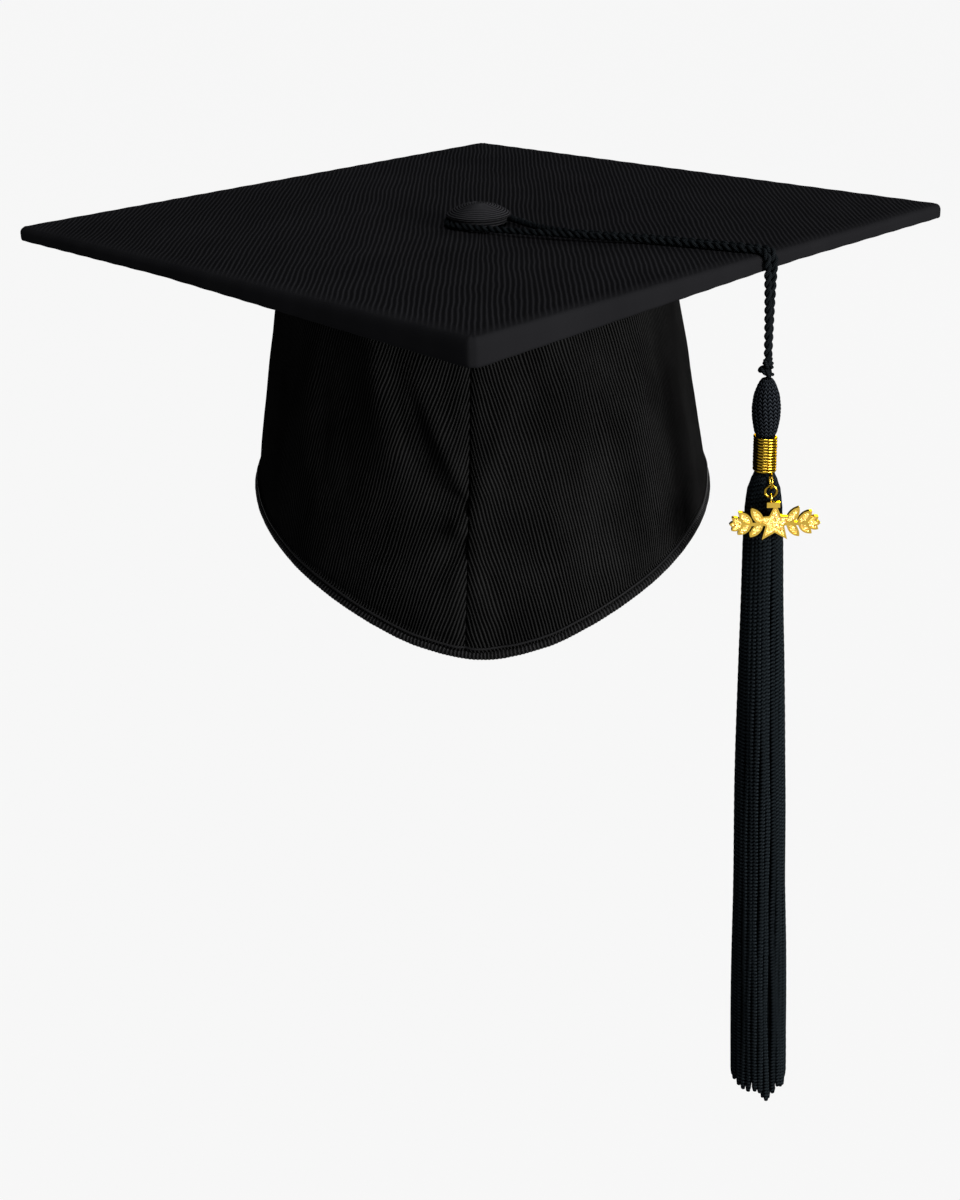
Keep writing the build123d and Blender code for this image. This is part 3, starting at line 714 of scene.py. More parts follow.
# small pulls along the rolled edge where the cloth turns over the board
s_along = np.arange(Gt.shape[0])[:, None] / Gt.shape[0]
pull = 0.07 * np.sin(s_along * 2 * math.pi * 88 + 1.3 * np.sin(s_along * 2 * math.pi * 9)) * gauss(np.maximum(wv.T - 1.0, 0), 2.0)
Gt = Gt + nrm * pull[..., None]
inner = Gt - nrm * 0.55
V, F = shell(Gt, inner, closed_u=True)
rx = Gt[..., 0] + 1.4 * np.sign(Gt[..., 0]) * gauss(d.T - 16, 22) * 0.6 * np.abs(np.sin(th.T))
# ribfade also marks where the material lays the flat lighter band tone: painted sheen on the rolled edge.
ribfade = np.clip((wv.T - 1.0) / 6.5, 0, 1) ** 0.8 * np.ones_like(rx)
ra = np.stack([rx, Gt[..., 1], ribfade], -1).reshape(-1, 3)
board_top = mesh_obj("board_cover_top_cloth", V, F, {"rib": np.concatenate([ra, ra])})
finish_piece(board_top, "board", "cap", ("board_cover_top",))

# underside cover, sewn inside the turned edge
HB = 118.55
rowsb = [0.0, 0.5, 1.2, 2.0, 3.2, 5.0, 8.0, 12.0]
w = 17.0
while w < HB - 2:
    rowsb.append(w)
    w += 6.0
rowsb.append(HB - 1.5)
gb = []
for w in rowsb:
    h = HB - w
    xy = square_ring(h, min(max(3.0 - w, 1.2) + max(0.0, w - 60) * 0.5, h * 0.98), 60, 6)
    gb.append(np.column_stack([xy, np.full(len(xy), 100.02)]))
GB = np.transpose(np.array(gb), (1, 0, 2))
wb = np.array(rowsb)[None, :]
rr = np.hypot(GB[..., 0] + 1.2, GB[..., 1])
GB[..., 2] += 0.20 * (1 - np.clip(wb / 2.4, 0, 1)) + 0.06 * np.clip(wb / 6, 0, 1) * noise2(GB[..., 0], GB[..., 1], 11, 0.08) * (rr > 95)
GB[..., 2] -= sag(GB[..., 0], GB[..., 1]) * np.exp(-wb / 9.0)
V, F = shell(GB, GB + np.array([0, 0, 0.5]), closed_u=True)
bottom = finish_piece(mesh_obj("board_cover_bottom_cloth", V, F), "under", "cap", ("board_cover_bottom",))

# ------------------------------------------------------------------ crown surface
HALF_WIDTH = [(0, 68.6), (35, 75.0), (60, 79.4), (75, 82.0), (90, 84.4), (105, 86.0), (135, 88.0)]
HALF_DEPTH = [(0, 82.5), (35, 90.5), (60, 95.0), (90, 98.6), (110, 100.0), (135, 101.0)]
RIM = [(0, 129.6), (12, 126.0), (20, 121.2), (28, 116.2), (36, 111.6), (45, 107.2), (52, 104.2), (61, 101.2),
       (76, 98.0), (90, 96.5), (120, 94.6), (150, 93.0), (180, 92.0)]


def soft_table(tab, v):
    """Table read with rounded knees, so that the silhouette has no corner."""
    xs, ys = zip(*tab)
    v = np.asarray(v, float)
    return sum(np.interp(np.clip(v + o, xs[0], xs[-1]), xs, ys) for o in (-8, -4, 0, 4, 8)) / 5


def crown_r(depth, deg, off):
    a, b = soft_table(HALF_WIDTH, depth) - off, soft_table(HALF_DEPTH, depth) - off
    t = np.radians(deg)
    s, c = np.abs(np.sin(t)), np.abs(np.cos(t))
    return ((s / a) ** 2.2 + (c / b) ** 2.2) ** (-1 / 2.2)


def crown_p(depth, deg, off):
    depth, deg = np.broadcast_arrays(np.asarray(depth, float), np.asarray(deg, float))
    r = crown_r(depth, deg, off)
    t = np.radians(deg)
    return np.stack([-1.2 + r * np.sin(t), -r * np.cos(t), 105 - depth], -1)


rx_, ry_ = np.array([p[0] for p in RIM], float), np.array([p[1] for p in RIM], float)
slope = np.zeros(len(rx_))
slope[1:-1] = (ry_[2:] - ry_[:-2]) / (rx_[2:] - rx_[:-2])


def rim_depth(deg):
    deg = np.asarray(deg, float)
    dd = np.abs((deg + 180) % 360 - 180)
    i = np.clip(np.searchsorted(rx_, dd, side="right") - 1, 0, len(rx_) - 2)
    h = rx_[i + 1] - rx_[i]
    s = (dd - rx_[i]) / h
    z = ((2 * s ** 3 - 3 * s ** 2 + 1) * ry_[i] + (s ** 3 - 2 * s ** 2 + s) * h * slope[i]
         + (-2 * s ** 3 + 3 * s ** 2) * ry_[i + 1] + (s ** 3 - s ** 2) * h * slope[i + 1])
    return z + 0.028 * crown_r(100.0, deg, 0) * np.sin(np.radians(deg))


def seam_deg(depth):
    return np.interp(depth, [0, 31, 75, 124, 135], [-0.3, -0.9, -1.8, -3.2, -3.4])


# distance along the crown from the front, at a middle depth
_deg = np.linspace(-185, 185, 1481)
_pp = crown_p(70.0, _deg, 0)
_arc = np.concatenate([[0], np.cumsum(np.linalg.norm(np.diff(_pp, axis=0), axis=1))])
_arc -= np.interp(0.0, _deg, _arc)


def along(deg):
    return np.interp(deg, _deg, _arc)


def blob(x, z, x0, z0, lx, lz, tilt, amp):
    """Rounded ridge or hollow; x along the crown from the seam, z the depth; tilt in degrees from vertical."""
    a = math.radians(tilt)
    du, dv = x - x0, z - z0
    p = du * math.cos(a) - dv * math.sin(a)
    q = du * math.sin(a) + dv * math.cos(a)
    return amp * np.exp(-(p / lx) ** 2 - (q / lz) ** 2)


def relief(deg, depth):
    """How far the outer cloth stands out of the plain crown, in millimetres."""
    x = along(deg) - along(seam_deg(depth))
    left, right = x < 0, x >= 0
    ax = np.abs(x)
    D = 0.15 + 0.55 * gauss(ax, 62.0) + 0.34 * noise2(along(deg), depth, 21, 0.045) + 0.12 * noise2(along(deg), depth, 22, 0.12)
    # the seam pulls in, with small puckers on each side
    pk = noise1(depth, 5, 4, 0.33)
    D -= 0.62 * gauss(ax, 1.5)
    D += 0.42 * gauss(ax - 3.2, 3.0)
    D += 0.30 * pk * gauss(ax - 3.0, 5.0) * np.where(left, 1.0, 0.7)
    L = left.astype(float)
    R = right.astype(float)
    D += 2.9 * L * (blob(x, depth, -7.0, 60.0, 3.6, 17.0, 27.0, 1.05)      # soft ridge running down to the seam
              + blob(x, depth, -4.5, 75.5, 3.0, 6.5, 62.0, -1.05)     # hollow under it
              + blob(x, depth, -2.8, 84.0, 4.2, 3.4, 20.0, 0.95)      # pucker
              + blob(x, depth, -3.0, 92.0, 5.5, 3.2, 40.0, -0.80)
              + blob(x, depth, -3.4, 100.0, 5.0, 4.0, 35.0, 0.42)
              + blob(x, depth, -21.0, 50.0, 5.0, 20.0, 22.0, -0.85)   # long shallow fold
              + blob(x, depth, -31.0, 40.0, 7.0, 26.0, 16.0, 0.75)
              + blob(x, depth, -50.0, 62.0, 9.0, 36.0, 8.0, -0.40)
              + blob(x, depth, -66.0, 55.0, 9.0, 40.0, 4.0, 0.45))
    D += 2.5 * R * (blob(x, depth, 5.5, 67.0, 4.0, 22.0, -16.0, 0.55)
              + blob(x, depth, 7.0, 105.5, 6.5, 3.4, -78.0, -0.55)
              + blob(x, depth, 7.5, 113.0, 7.0, 3.6, -78.0, 0.75)
              + blob(x, depth, 10.0, 121.0, 8.0, 3.2, -75.0, -0.35)
              + blob(x, depth, 31.0, 60.0, 8.0, 42.0, -10.0, 0.50)
              + blob(x, depth, 47.0, 62.0, 7.0, 40.0, -7.0, -0.45)
              + blob(x, depth, 66.0, 52.0, 9.0, 40.0, -3.0, 0.45))
    # upper edge: drawn in under the board
    D += -0.35 * gauss(depth - 5.0, 4.0) + 0.16 * noise1(along(deg), 31, 4, 0.22) * gauss(depth - 9, 16)
    # gathers above the elastic at the back
    back = np.clip((np.abs(deg) - 118.0) / 12.0, 0, 1)
    back = back * back * (3 - 2 * back)
    up_rim = rim_depth(deg) - depth
    wave = np.sin(along(deg) * 2 * math.pi / 6.6 + 1.2 * noise1(along(deg), 41, 3, 0.11))
    wave2 = np.sin(along(deg) * 2 * math.pi / 3.9 + 2.0)
    D += back * (0.95 * (0.5 + 0.5 * wave) ** 1.3 * np.exp(-np.maximum(up_rim - 4, 0) / 16.0) + 0.35 * wave2 * np.exp(-up_rim / 7.0))
    D += back * 0.45 * noise1(along(deg), 43, 3, 0.16) * np.exp(-((up_rim - 30) / 28.0) ** 2)
    bs = np.abs(np.abs(along(deg)) - along(180.0))
    D -= 0.45 * gauss(bs, 1.3) - 0.28 * gauss(bs - 2.8, 2.6)
    # pressed ridge just above the piping
    e = up_rim - 1.75
    D += 0.62 * gauss(e - 1.1, 0.75) - 0.25 * gauss(e - 2.9, 1.1)
    return np.maximum(D, -0.28)


def ease(n, dense=0.35):
    t = np.linspace(0, 1, n)
    return t - dense * np.sin(2 * math.pi * t) / (2 * math.pi)


def panel(name, side):
    nu, nv = 190, 120
    v = np.linspace(0, 1, nv)
    v = np.where(v < 0.86, v / 0.86 * 0.93, 0.93 + (v - 0.86) / 0.14 * 0.07)
    u = np.linspace(0, 1, nu) ** 1.0
    u = 0.55 * u + 0.45 * (1 - (1 - u) ** 1.0) * u ** 1.6
    lo = np.zeros((nu, nv))
    end = 180 - 0.12
    depth = lo.copy()
    for _ in range(3):
        s0 = seam_deg(depth) + side * 0.03
        deg = s0 + (side * end - s0) * u[:, None]
        bottom_d = rim_depth(deg) - 1.45
        depth = 5.15 + (bottom_d - 5.15) * v[None, :]
    D = relief(deg, depth)
    out = crown_p(depth, deg, 0)
    n = grid_normals(out)
    c = out.copy()
    c[..., 2] = 0
    if (n * c).sum(-1).mean() < 0:
        n = -n
    outer = out + n * D[..., None]
    inn = out + n * (np.maximum(D, -0.28) - 0.6)[..., None]
    V, F = shell(outer, inn)
    x = along(deg) - along(seam_deg(depth))
    ax = np.abs(x)
    q = ax - 0.33 * (depth - 40.0) * np.exp(-(ax / 105.0) ** 2)
    a = np.stack([q * 1.0, depth, np.ones_like(q)], -1).reshape(-1, 3)
    ob = mesh_obj(name, V, F, {"rib": np.concatenate([a, a])})
    return ob


right_panel = finish_piece(panel("crown_panel_right_cloth", 1), "crown", "cap", ("crown_panel_right",))
left_panel = finish_piece(panel("crown_panel_left_cloth", -1), "crown", "cap", ("crown_panel_left",))


def strip(name, deg0, deg1, top_f, bot_f, off, thick, nu, nv, bulge=None):
    """Closed strip of cloth on the inside of the crown. off is how far its outer face lies inside the crown's outer face."""
    deg = np.linspace(deg0, deg1, nu)[:, None] * np.ones((1, nv))
    v = np.linspace(0, 1, nv)[None, :]
    t0, b0 = top_f(deg), bot_f(deg)
    depth = t0 + (b0 - t0) * v
    D = bulge(deg, depth, v) if bulge else 0.0
    outer = crown_p(depth, deg, off + D)
    inner_ = crown_p(depth, deg, off + D + thick)
    return mesh_obj(name, *shell(outer, inner_))


def pend(deg):
    return rim_depth(deg) - 2.63


o2, o4 = 0.97, 1.68
c0 = o4 + 1.2 + 0.15
for side, nm in ((1, "right"), (-1, "left")):
    ob = strip("crown_lining_" + nm + "_cloth", side * 0.02, side * 179.97, lambda a: a * 0 + 6.0, lambda a: pend(a) + 0.75, o2, 0.45, 150, 24,
               lambda a, z, v: 0.10 + 0.10 * noise2(along(a), z, 51, 0.08))
    finish_piece(ob, "lining", "cap", ("crown_lining_" + nm,))
ob = strip("front_seam_tape_cloth", -3.2, 3.2, lambda a: a * 0 + 9.0, lambda a: a * 0 + 98.0, o4, 0.4, 9, 60,
           lambda a, z, v: 0.12 * (1 - np.cos((a / 3.2) * math.pi)) * 0 + 0.10 * np.abs(a / 3.2) ** 4)
finish_piece(ob, "band", "cap", ("front_seam_tape",))
ob = strip("sweatband_cloth", -112, 112, lambda a: pend(a) - 26, lambda a: pend(a) - 2, o4, 0.8, 260, 26,
           lambda a, z, v: 0.35 * np.sin(v * math.pi) ** 0.6 * (1 + 0.25 * noise1(along(a), 61, 3, 0.2)) - 0.12 * gauss((v - 0.09) * 24, 0.8) - 0.12 * gauss((v - 0.91) * 24, 0.8))
finish_piece(ob, "band", "cap", ("sweatband",))
ob = strip("back_elastic_webbing", 124, 236, lambda a: pend(a) - 17, lambda a: pend(a) - 4, o4, 1.1, 300, 24,
           lambda a, z, v: 0.09 * np.sin(along(a) * 2 * math.pi / 1.6) * 0.5 + 0.05 * np.sin(v * 2 * math.pi * 7))
finish_piece(ob, "elastic", "cap", ("back_elastic",))
ob = strip("elastic_casing_cloth", 122, 238, lambda a: pend(a) - 19, lambda a: pend(a) - 2, c0, 0.45, 420, 26,
           lambda a, z, v: (0.45 + 0.45 * np.sin(np.radians(a) * 92 * 2 * math.pi / 5.2 + 1.1 * noise1(a, 71, 3, 0.35))) * np.sin(v * math.pi) ** 0.5)
finish_piece(ob, "lining", "cap", ("elastic_casing",))
tk = Bag()
for a0 in (119.0, 238.2):
    zz = np.linspace(0, 1, 26)
    for k in range(9):
        zig = 119 * 0 + a0 + 1.5 + 1.25 * np.where(np.arange(26) % 2 == 0, 1, -1)
        dep = pend(a0 + 1.5) - 18 + 15 * (np.arange(26) / 25)
    p = crown_p(dep, zig, o4 + 0.45)
    v, f = tube_mesh(resample(p, 0.5), 0.32, 7)
    tk.add(v, f)
    p2 = crown_p(dep, zig[::-1], o4 + 0.75)
    v, f = tube_mesh(resample(p2, 0.5), 0.32, 7)
    tk.add(v, f)
finish_piece(tk.obj("elastic_end_tacks_thread"), "thread", "cap", ("elastic_end_tacks",))
ob = strip("size_label_cloth", 176, 184, lambda a: pend(a) - 50, lambda a: pend(a) - 22, o4 + 0.12, 0.3, 22, 40,
           lambda a, z, v: 0.35 * np.sin(v * math.pi) ** 2 * (1 + 0.3 * np.sin(np.radians(a - 176) * 40)))
finish_piece(ob, "label", "cap", ("blank_size_label",))

# oval that closes the top of the crown
nu, nv = 180, 26
dg = np.linspace(0, 360, nu, endpoint=False)[:, None]
v = np.linspace(1, 0.075, nv)[None, :]
edge = crown_p(5.1, dg, 1.85)
ov = np.zeros((nu, nv, 3))
ov[..., 0] = edge[..., 0] * v + 0.0 * (1 - v)
ov[..., 1] = edge[..., 1] * v - 6.0 * (1 - v)
ov[..., 2] = 99.85 - 0.25 * np.abs(np.sin(np.radians(dg) * 24)) * gauss(v - 1, 0.06) + 0.05 * noise2(ov[..., 0], ov[..., 1], 81, 0.1)
V, F = shell(ov, ov - np.array([0, 0, 0.55]), closed_u=True)
finish_piece(mesh_obj("crown_top_oval_cloth", V, F), "lining", "cap", ("crown_top_oval",))

# ------------------------------------------------------------------ rim piping
dg = np.linspace(-179.95, 179.95, 4001)
rp = crown_p(rim_depth(dg), dg, 0.4)
back = np.clip((np.abs(dg) - 118.0) / 12.0, 0, 1)
outd = np.stack([np.sin(np.radians(dg)), -np.cos(np.radians(dg)), dg * 0], 1)
gath = back * 0.42 * np.sin(along(dg) * 2 * math.pi / 6.6 + 1.2 * noise1(along(dg), 41, 3, 0.11))
rp = rp + outd * (gath + 0.06 * noise1(along(dg), 91, 3, 0.2))[:, None]
rp = resample(rp, 0.34)
sp = arc_length(rp)
sides = 18
th = np.linspace(0, 2 * math.pi, sides, endpoint=False)
guide = np.stack([rp[:, 0] + 1.2, rp[:, 1], rp[:, 2] * 0], 1)
ph = sp[:, None] * 2 * math.pi / 1.28 + 0.9 * np.cos(th)[None, :] + 0.5 * noise1(sp, 92, 3, 0.4)[:, None]
scale = 1 + 0.045 * np.sin(ph) + 0.02 * noise1(sp, 93, 3, 0.7)[:, None] - 0.03
V, F = tube_mesh(rp, 1.78, sides, guide=guide, scale=scale)
a = np.zeros((len(V), 3))
k = len(rp) * sides
a[:k, 0] = (sp[:, None] + 0.14 * 1.28 * np.cos(th)[None, :]).reshape(-1)
a[:k, 1] = np.tile(th * 1.8, len(rp))
a[:, 2] = 1.0
finish_piece(mesh_obj("rim_piping_cover_cloth", V, F, {"rib": a}), "piping", "cap", ("rim_piping_cover",))

# fold of cloth pressed over the piping's seam, seen as a thin line above it
dg = np.linspace(-179.9, 179.9, 3001)
fdep = rim_depth(dg) - 3.05
fp = crown_p(fdep, dg, -(relief(dg, fdep) + 0.06))
fp = resample(fp + outd[0:1] * 0, 0.5)
guide = np.stack([fp[:, 0] + 1.2, fp[:, 1], fp[:, 2] * 0], 1)
V, F = tube_mesh(fp, 0.34, 8, guide=guide, squash=-0.25)
a = np.zeros((len(V), 3))
a[:len(fp) * 8, 0] = np.repeat(arc_length(fp), 8)
finish_piece(mesh_obj("rim_seam_fold", V, F, {"rib": a}), "piping", "cap")

# ------------------------------------------------------------------ button
BX, BY, BZ = 0.0, -6.0, 102.55
BR, BH, DB = 11.6, 8.3, 4.4
hh = BH - DB
BIG = (BR * BR + hh * hh) / (2 * hh)
nr, na = 150, 220
prof = []
for k in range(nr):
    q = k / (nr - 1)
    if q < 0.82:
        r = BR * (q / 0.82)
        z = DB + hh - BIG + math.sqrt(max(BIG * BIG - r * r, 0))
        prof.append((r, z))
    else:
        a = (q - 0.82) / 0.18 * math.radians(150)
        prof.append((BR - 1.15 + 1.15 * math.cos(a) + 0.0, DB - 0.1 - 1.15 * math.sin(a)))
for k in range(14):
    prof.append((10.55 - 0.02 * k, 3.0 - 0.14 * k))
prof = np.array(prof)
nr = len(prof)
sl = arc_length(np.column_stack([prof, prof[:, 0] * 0]))
aa = np.linspace(0, 2 * math.pi, na, endpoint=False)[:, None]
rr_, zz_ = prof[:, 0][None, :], prof[:, 1][None, :]
tz = 1.0
ph = sl[None, :] / tz - aa / (2 * math.pi) + 0.18 * noise1(aa, 101, 3, 1.0)
ridge = np.abs(np.sin(math.pi * ph)) ** 0.7
amp = 0.24 * np.clip(sl[None, :] / 2.0, 0.3, 1)
twist = 0.03 * np.sin(aa * rr_ * 2.2 + ph * 3)
lump = 0.10 * np.sin(3 * aa + 0.5) * gauss(rr_ - 6, 4)
nz = np.gradient(prof, axis=0)
nn = np.stack([nz[:, 1] * -1 * -1, -nz[:, 0] * -1], 1)
nn = np.stack([-nz[:, 1], nz[:, 0]], 1)
nn /= np.linalg.norm(nn, axis=1, keepdims=True)
if nn[5, 1] < 0:
    nn = -nn
disp = amp * (ridge - 0.6) + twist + lump - 0.05
R_ = rr_ + nn[:, 0][None, :] * disp
Z_ = zz_ + nn[:, 1][None, :] * disp
BG = np.stack([BX + R_ * np.cos(aa), BY + R_ * np.sin(aa), BZ + Z_], -1)
BGi = np.stack([BX + np.maximum(rr_ - nn[:, 0][None, :] * 0.5, 0.0) * np.cos(aa), BY + np.maximum(rr_ - nn[:, 0][None, :] * 0.5, 0.0) * np.sin(aa), BZ + zz_ - nn[:, 1][None, :] * 0.5 + 0 * aa], -1)
V, F = shell(BG[:, 1:], BGi[:, 1:], closed_u=True)
# The attribute's y, the thread ridge height, makes each wound turn lighter on its crest and dark between turns in the
# material: painted shade between the threads.
at = np.stack([np.broadcast_to(aa * rr_ , BG.shape[:2]), np.broadcast_to(ridge ** 1.5, BG.shape[:2]), np.broadcast_to(np.floor(ph) * 0.13, BG.shape[:2])], -1)[:, 1:].reshape(-1, 3)
button = mesh_obj("button_wound_cover", V, F, {"yarn": np.concatenate([at, at])})
finish_piece(button, "button", "cap", ("button_cover",))

# ------------------------------------------------------------------ tassel head
egg = np.array([(1.5, 63.5), (2.1, 63.05), (3.1, 61.0), (4.2, 57.8), (4.7, 53.6), (4.55, 49.8), (4.0, 46.4), (3.55, 44.4), (3.2, 43.95)])
ee = resample(np.column_stack([egg, egg[:, 0] * 0]), 0.2)[:, :2]
for _ in range(12):
    ee[1:-1] = 0.25 * ee[:-2] + 0.5 * ee[1:-1] + 0.25 * ee[2:]
se = arc_length(np.column_stack([ee, ee[:, 0] * 0]))
ne = 264
ae = np.linspace(0, 2 * math.pi, ne, endpoint=False)[:, None]
cols = 16
uu = (ae / (2 * math.pi) * cols + 0.25 * np.sin(se / 4.0)[None, :]) % 1.0
tri = np.abs(uu - 0.5) * 2
phase = se[None, :] / 1.35 - 0.8 * tri
her = 0.5 + 0.5 * np.cos(2 * math.pi * phase)
groove = np.sin(math.pi * uu) ** 0.35
er = ee[:, 0][None, :] + 0.26 * (her - 0.5) * np.clip(groove, 0, 1) + 0.10 * (groove - 0.8)
er = er * (1 + 0.012 * np.cos(2 * ae + 0.4))
HG = np.stack([TX + er * np.cos(ae), TY + er * np.sin(ae), np.broadcast_to(ee[:, 1][None, :], er.shape)], -1)
HGi = np.stack([TX + (ee[:, 0] - 0.6)[None, :] * np.cos(ae), TY + (ee[:, 0] - 0.6)[None, :] * np.sin(ae), np.broadcast_to(ee[:, 1][None, :], er.shape)], -1)
V, F = shell(HG, HGi, closed_u=True)
# The attribute's y, herringbone ridge height times the groove, makes ridges lighter and column grooves darker in the
# material: painted shade in the braid's grooves.
at = np.stack([np.broadcast_to(se[None, :], er.shape), her * np.clip(groove, 0.2, 1), np.floor(ae / (2 * math.pi) * cols) * 0.11 + 0 * er], -1).reshape(-1, 3)
finish_piece(mesh_obj("tassel_head_braid", V, F, {"yarn": np.concatenate([at, at])}), "braid", "tassel", ("tassel_head_cover",))

# ------------------------------------------------------------------ gold wire round the neck
turns = 12
q = np.linspace(0, 1, turns * 46)
wz = 43.55 - (43.55 - 31.2) * q
wa = 2 * math.pi * turns * q + 0.7
wr = 3.56 + 0.05 * noise1(q * turns, 111, 3, 2.0)
wp = np.stack([TX + wr * np.cos(wa), TY + wr * np.sin(wa), wz + 0.06 * noise1(q * turns, 112, 3, 1.3)], 1)
V, F = tube_mesh(wp, 0.47, 12)
finish_piece(mesh_obj("neck_gold_coil", V, F), "gold_wire", "tassel", ("neck_wire_wrap",))

# ------------------------------------------------------------------ skirt of chainette strands
prof_z = np.array([44.0, 30.9, 27.8, 24.0, 18.0, 5.0, -35.0, -91.0, -155.0, -228.0])
prof_r = np.array([3.15, 3.25, 4.5, 5.75, 6.4, 7.0, 8.1, 9.2, 10.2, 10.9])


def skirt_r(z):
    o = np.argsort(prof_z)
    return np.interp(z, prof_z[o], prof_r[o])


def hem_z(dx):
    """Uneven lower end of the strands, by place across the front."""
    return np.interp(dx, [-11, -7, -4.2, -1.7, 0.6, 3.4, 5.4, 7.6, 11], [-219.0, -220.5, -222.5, -217.5, -224.6, -224.6, -217.5, -222.0, -219.5])


skirt = Bag()
layers = [(1.0, 27, 0.98, 10, 1.7), (0.74, 19, 0.84, 8, 3.0), (0.48, 12, 0.82, 7, 3.6), (0.2, 5, 0.82, 7, 3.6)]
idx = 0
for frac, count, rs, sides, step in layers:
    for k in range(count):
        idx += 1
        a0 = 2 * math.pi * (k + 0.5 * (frac < 0.9)) / count + RNG.normal(0, 0.03)
        length_jit = float(np.clip(RNG.normal(0, 0.6), -1.0, 1.0))
        zend = float(hem_z(10.0 * frac * math.sin(a0) if True else 0)) if math.cos(a0) > -2 else -223
        dx = 10.4 * frac * math.cos(a0)
        zend = float(hem_z(dx)) + length_jit + (0.6 if frac > 0.9 else 0.0)
        if math.sin(a0) > 0.3:
            zend = -219.5 + 2.6 * math.sin(5 * a0) + length_jit
        zend = max(zend, -228.0)
        n_pts = int((43.2 - zend) / step)
        z = np.linspace(43.2, zend + 0.5, n_pts)
        R = skirt_r(z)
        thick = np.minimum(rs, 0.30 * R) * (1 + 0.05 * np.sin(z * 0.9 + idx))
        thick = np.where(z > 31, 0.55, thick)
        wander = 0.030 * np.sin(z / (23 + 9 * math.sin(idx)) + idx * 1.7) * np.clip((25 - z) / 40, 0, 1)
        wander += 0.018 * np.sin(z / 9.0 + idx * 2.3) * np.clip((25 - z) / 60, 0, 1)
        rad = np.maximum(R - thick, 0.3) * frac * (1 + 0.02 * np.sin(z / 17.0 + idx * 0.9)) - (0.0 if frac > 0.9 else 0.1)
        aang = a0 + wander
        drift = np.clip((31.0 - z) / 259.0, 0, 1) ** 1.25
        p = np.stack([TX + rad * np.cos(aang) + 5.5 * drift, TY + rad * np.sin(aang) + 0.6 * drift, z], 1)
        tail = np.clip((z - z[-1]) / 1.6, 0, 1) ** 0.5
        thick2 = thick * (0.72 + 0.28 * tail)
        g = np.stack([np.cos(aang), np.sin(aang), 0 * aang], 1)
        crimp = 1 + 0.05 * np.sin(z * 2 * math.pi / 3.4 + idx)[:, None] * np.ones((1, sides))
        V, F = tube_mesh(p, thick2, sides, guide=g, squash=-0.10, scale=crimp)
        at = np.zeros((len(V), 3))
        kk = len(p) * sides
        at[:kk, 0] = np.repeat(arc_length(p) + idx * 0.37, sides)
        at[:kk, 1] = np.tile(np.arange(sides) / sides, len(p))
        at[:, 2] = idx * 0.173
        skirt.add(V, F, at)
skirt_ob = finish_piece(skirt.obj("tassel_skirt_chainettes", "yarn"), "skirt", "tassel", ("tassel_skirt_strands",))

# ------------------------------------------------------------------ charm: bevelled gold plate, glitter grains in its hollows
def bevelled_copy(node, name, width, mat, body, angle=38):
    src = NODES[node]
    me = src.data.copy()
    me.transform(src.matrix_world)
    bm = bmesh.new()
    bm.from_mesh(me)
    bmesh.ops.remove_doubles(bm, verts=bm.verts, dist=2e-6)
    bmesh.ops.dissolve_limit(bm, angle_limit=math.radians(1.0), verts=bm.verts, edges=bm.edges)
    sharp = [e for e in bm.edges if len(e.link_faces) == 2 and e.calc_face_angle(0) > math.radians(angle)]
    bmesh.ops.bevel(bm, geom=sharp, offset=width * MM, segments=2, profile=0.6, affect="EDGES", clamp_overlap=True)
    bmesh.ops.triangulate(bm, faces=[f for f in bm.faces if len(f.verts) > 4])
    bmesh.ops.recalc_face_normals(bm, faces=bm.faces)
    me2 = bpy.data.meshes.new(name)
    bm.to_mesh(me2)
    bm.free()
    ob = bpy.data.objects.new(name, me2)
    SC.collection.objects.link(ob)
    for p in me2.polygons:
        p.use_smooth = True
    md = ob.modifiers.new("ws", "WEIGHTED_NORMAL")
    md.keep_sharp = False
    finish_piece(ob, mat, body, (node,))
    return ob


bevelled_copy("laurel_charm", "laurel_charm_bevelled", 0.16, "gold_charm", "charm")


def glitter_grains():
    """Small faceted grains on the front faces of the infill, facing the wearer's front."""
    src = NODES["charm_glitter_infill"]
    me = src.data
    me.calc_loop_triangles()
    co = np.array([v.co[:] for v in me.vertices]) / MM
    tr = np.array([t.vertices[:] for t in me.loop_triangles])
    a, b, c = co[tr[:, 0]], co[tr[:, 1]], co[tr[:, 2]]
    n = np.cross(b - a, c - a)
    ar = np.linalg.norm(n, axis=1) / 2
    keep = (n[:, 1] < -0.9 * np.linalg.norm(n, axis=1)) & (ar > 1e-6)
    a, b, c, ar = a[keep], b[keep], c[keep], ar[keep]
    count = int(min(1500, ar.sum() * 14))
    rng = np.random.default_rng(17)
    pick = rng.choice(len(ar), count, p=ar / ar.sum())
    s, t = rng.random(count), rng.random(count)
    fl = s + t > 1
    s[fl], t[fl] = 1 - s[fl], 1 - t[fl]
    p = a[pick] + s[:, None] * (b[pick] - a[pick]) + t[:, None] * (c[pick] - a[pick])
    octv = np.array([(1, 0, 0), (-1, 0, 0), (0, 1, 0), (0, -1, 0), (0, 0, 1), (0, 0, -1)], float)
    octf = [(0, 2, 4), (2, 1, 4), (1, 3, 4), (3, 0, 4), (2, 0, 5), (1, 2, 5), (3, 1, 5), (0, 3, 5)]
    bag = Bag()
    for i in range(count):
        q = rng.normal(size=(3, 3))
        q, _ = np.linalg.qr(q)
        v = octv * rng.uniform(0.6, 1.2, (1, 3)) @ q * rng.uniform(0.14, 0.25)
        bag.add(v + p[i] + np.array([0, 0.02, 0]), octf)
    return bag.obj("charm_glitter_grains", smooth=False)


finish_piece(glitter_grains(), "glitter", "charm")


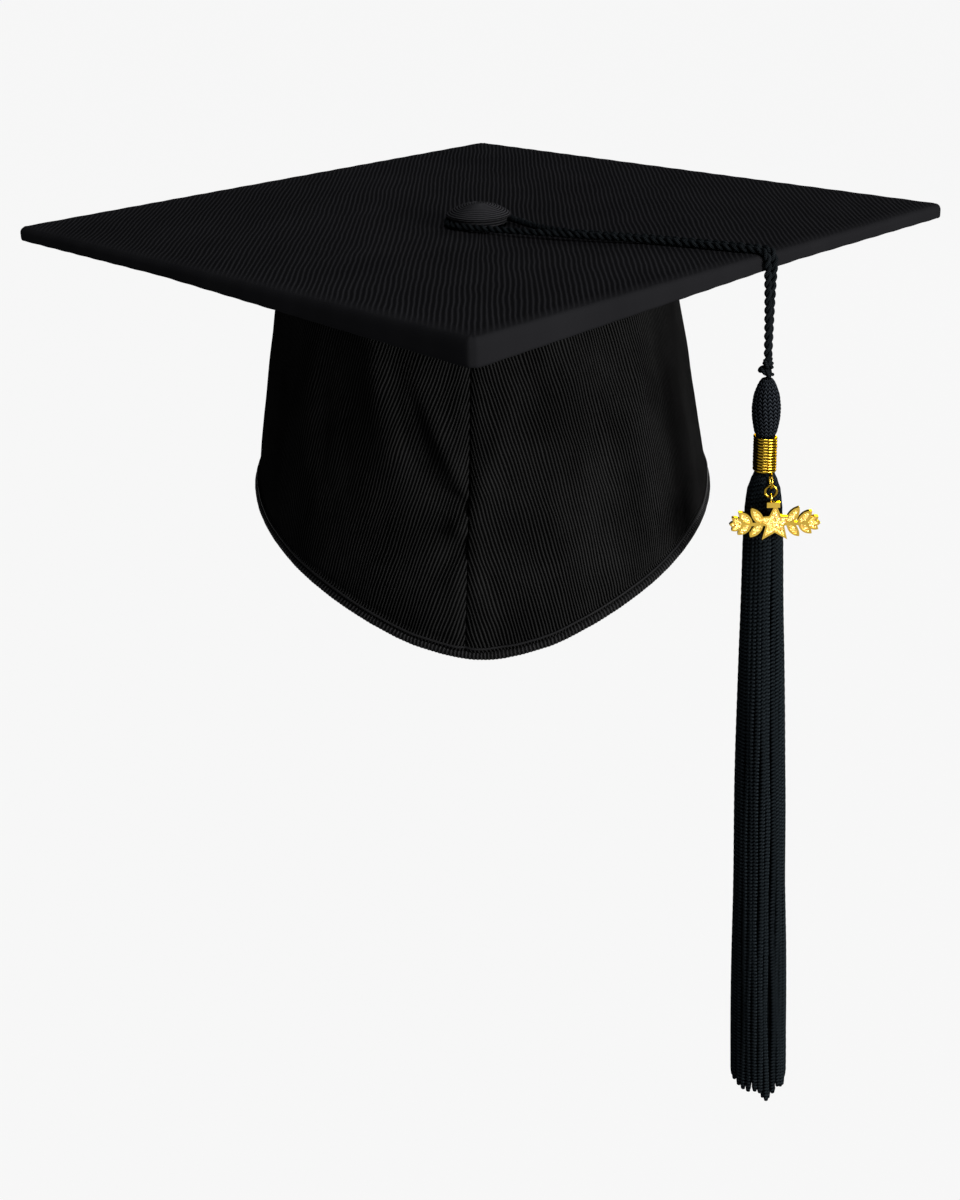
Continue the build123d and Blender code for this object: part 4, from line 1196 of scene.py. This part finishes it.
# ------------------------------------------------------------------ CAD nodes that stay
KEEP = {"board_insert": "board_plastic", "button_shell": "metal_black", "button_back_plate": "metal_black", "button_prong_fastener": "metal",
        "button_washer": "metal", "rim_piping_filler": "filler", "tassel_head_bead": "bead", "charm_bail": "gold_wire",
        "charm_jump_ring": "gold_wire", "charm_glitter_infill": "glitter"}
for n, mt in KEEP.items():
    ob = NODES[n]
    if not ob.material_slots:
        ob.data.materials.append(MAT[mt])
    for s in ob.material_slots:
        s.material = MAT[mt]

# ------------------------------------------------------------------ floor, light
me = bpy.data.meshes.new("floor")
R = 40.0
ring = [(R * math.cos(2 * math.pi * k / 64), R * math.sin(2 * math.pi * k / 64), -0.262) for k in range(64)]
me.from_pydata(ring, [], [list(range(64))])
floor = bpy.data.objects.new("floor", me)
SC.collection.objects.link(floor)
fm = bpy.data.materials.new("pale_floor")
fm.use_nodes = True
nt_ = fm.node_tree
nt_.nodes.clear()
o = nt_.nodes.new("ShaderNodeOutputMaterial")
add = nt_.nodes.new("ShaderNodeAddShader")
df = nt_.nodes.new("ShaderNodeBsdfDiffuse")
df.inputs[0].default_value = (0.002, 0.002, 0.002, 1)
em = nt_.nodes.new("ShaderNodeEmission")
em.inputs[0].default_value = (1, 1, 1, 1)
em.inputs[1].default_value = 0.926
nt_.links.new(df.outputs[0], add.inputs[0])
nt_.links.new(em.outputs[0], add.inputs[1])
nt_.links.new(add.outputs[0], o.inputs[0])
me.materials.append(fm)

world = bpy.data.worlds.new("studio")
SC.world = world
world.use_nodes = True
wt = world.node_tree
wt.nodes.clear()
wo = wt.nodes.new("ShaderNodeOutputWorld")
bg = wt.nodes.new("ShaderNodeBackground")
tc = wt.nodes.new("ShaderNodeTexCoord")
sx = wt.nodes.new("ShaderNodeSeparateXYZ")
rp_ = wt.nodes.new("ShaderNodeValToRGB")
rp_.color_ramp.elements[0].position = 0.12
rp_.color_ramp.elements[0].color = (0.93, 0.93, 0.93, 1)
rp_.color_ramp.elements[1].position = 0.34
rp_.color_ramp.elements[1].color = (0.05, 0.05, 0.055, 1)
wt.links.new(tc.outputs["Generated"], sx.inputs[0])
wt.links.new(sx.outputs[2], rp_.inputs[0])
wt.links.new(rp_.outputs[0], bg.inputs[0])
wt.links.new(bg.outputs[0], wo.inputs[0])


def area(name, loc, aim, size, watts, color=(1, 1, 1)):
    l = bpy.data.lights.new(name, "AREA")
    l.shape = "DISK"
    l.size = size
    l.energy = watts
    l.color = color
    ob = bpy.data.objects.new(name, l)
    ob.location = loc
    ob.rotation_euler = (Vector(aim) - Vector(loc)).to_track_quat("-Z", "Y").to_euler()
    SC.collection.objects.link(ob)


area("key", (1.25, -1.10, 0.32), (0, 0, 0.0), 0.85, 110.0, (1.0, 0.99, 0.97))
area("top", (0.25, -0.75, 1.7), (0, 0, 0.1), 0.9, 42.0, (0.97, 0.98, 1.0))
area("rim", (0.7, 1.5, 0.75), (0, 0, 0.05), 0.9, 55.0)

bpy.context.view_layer.update()
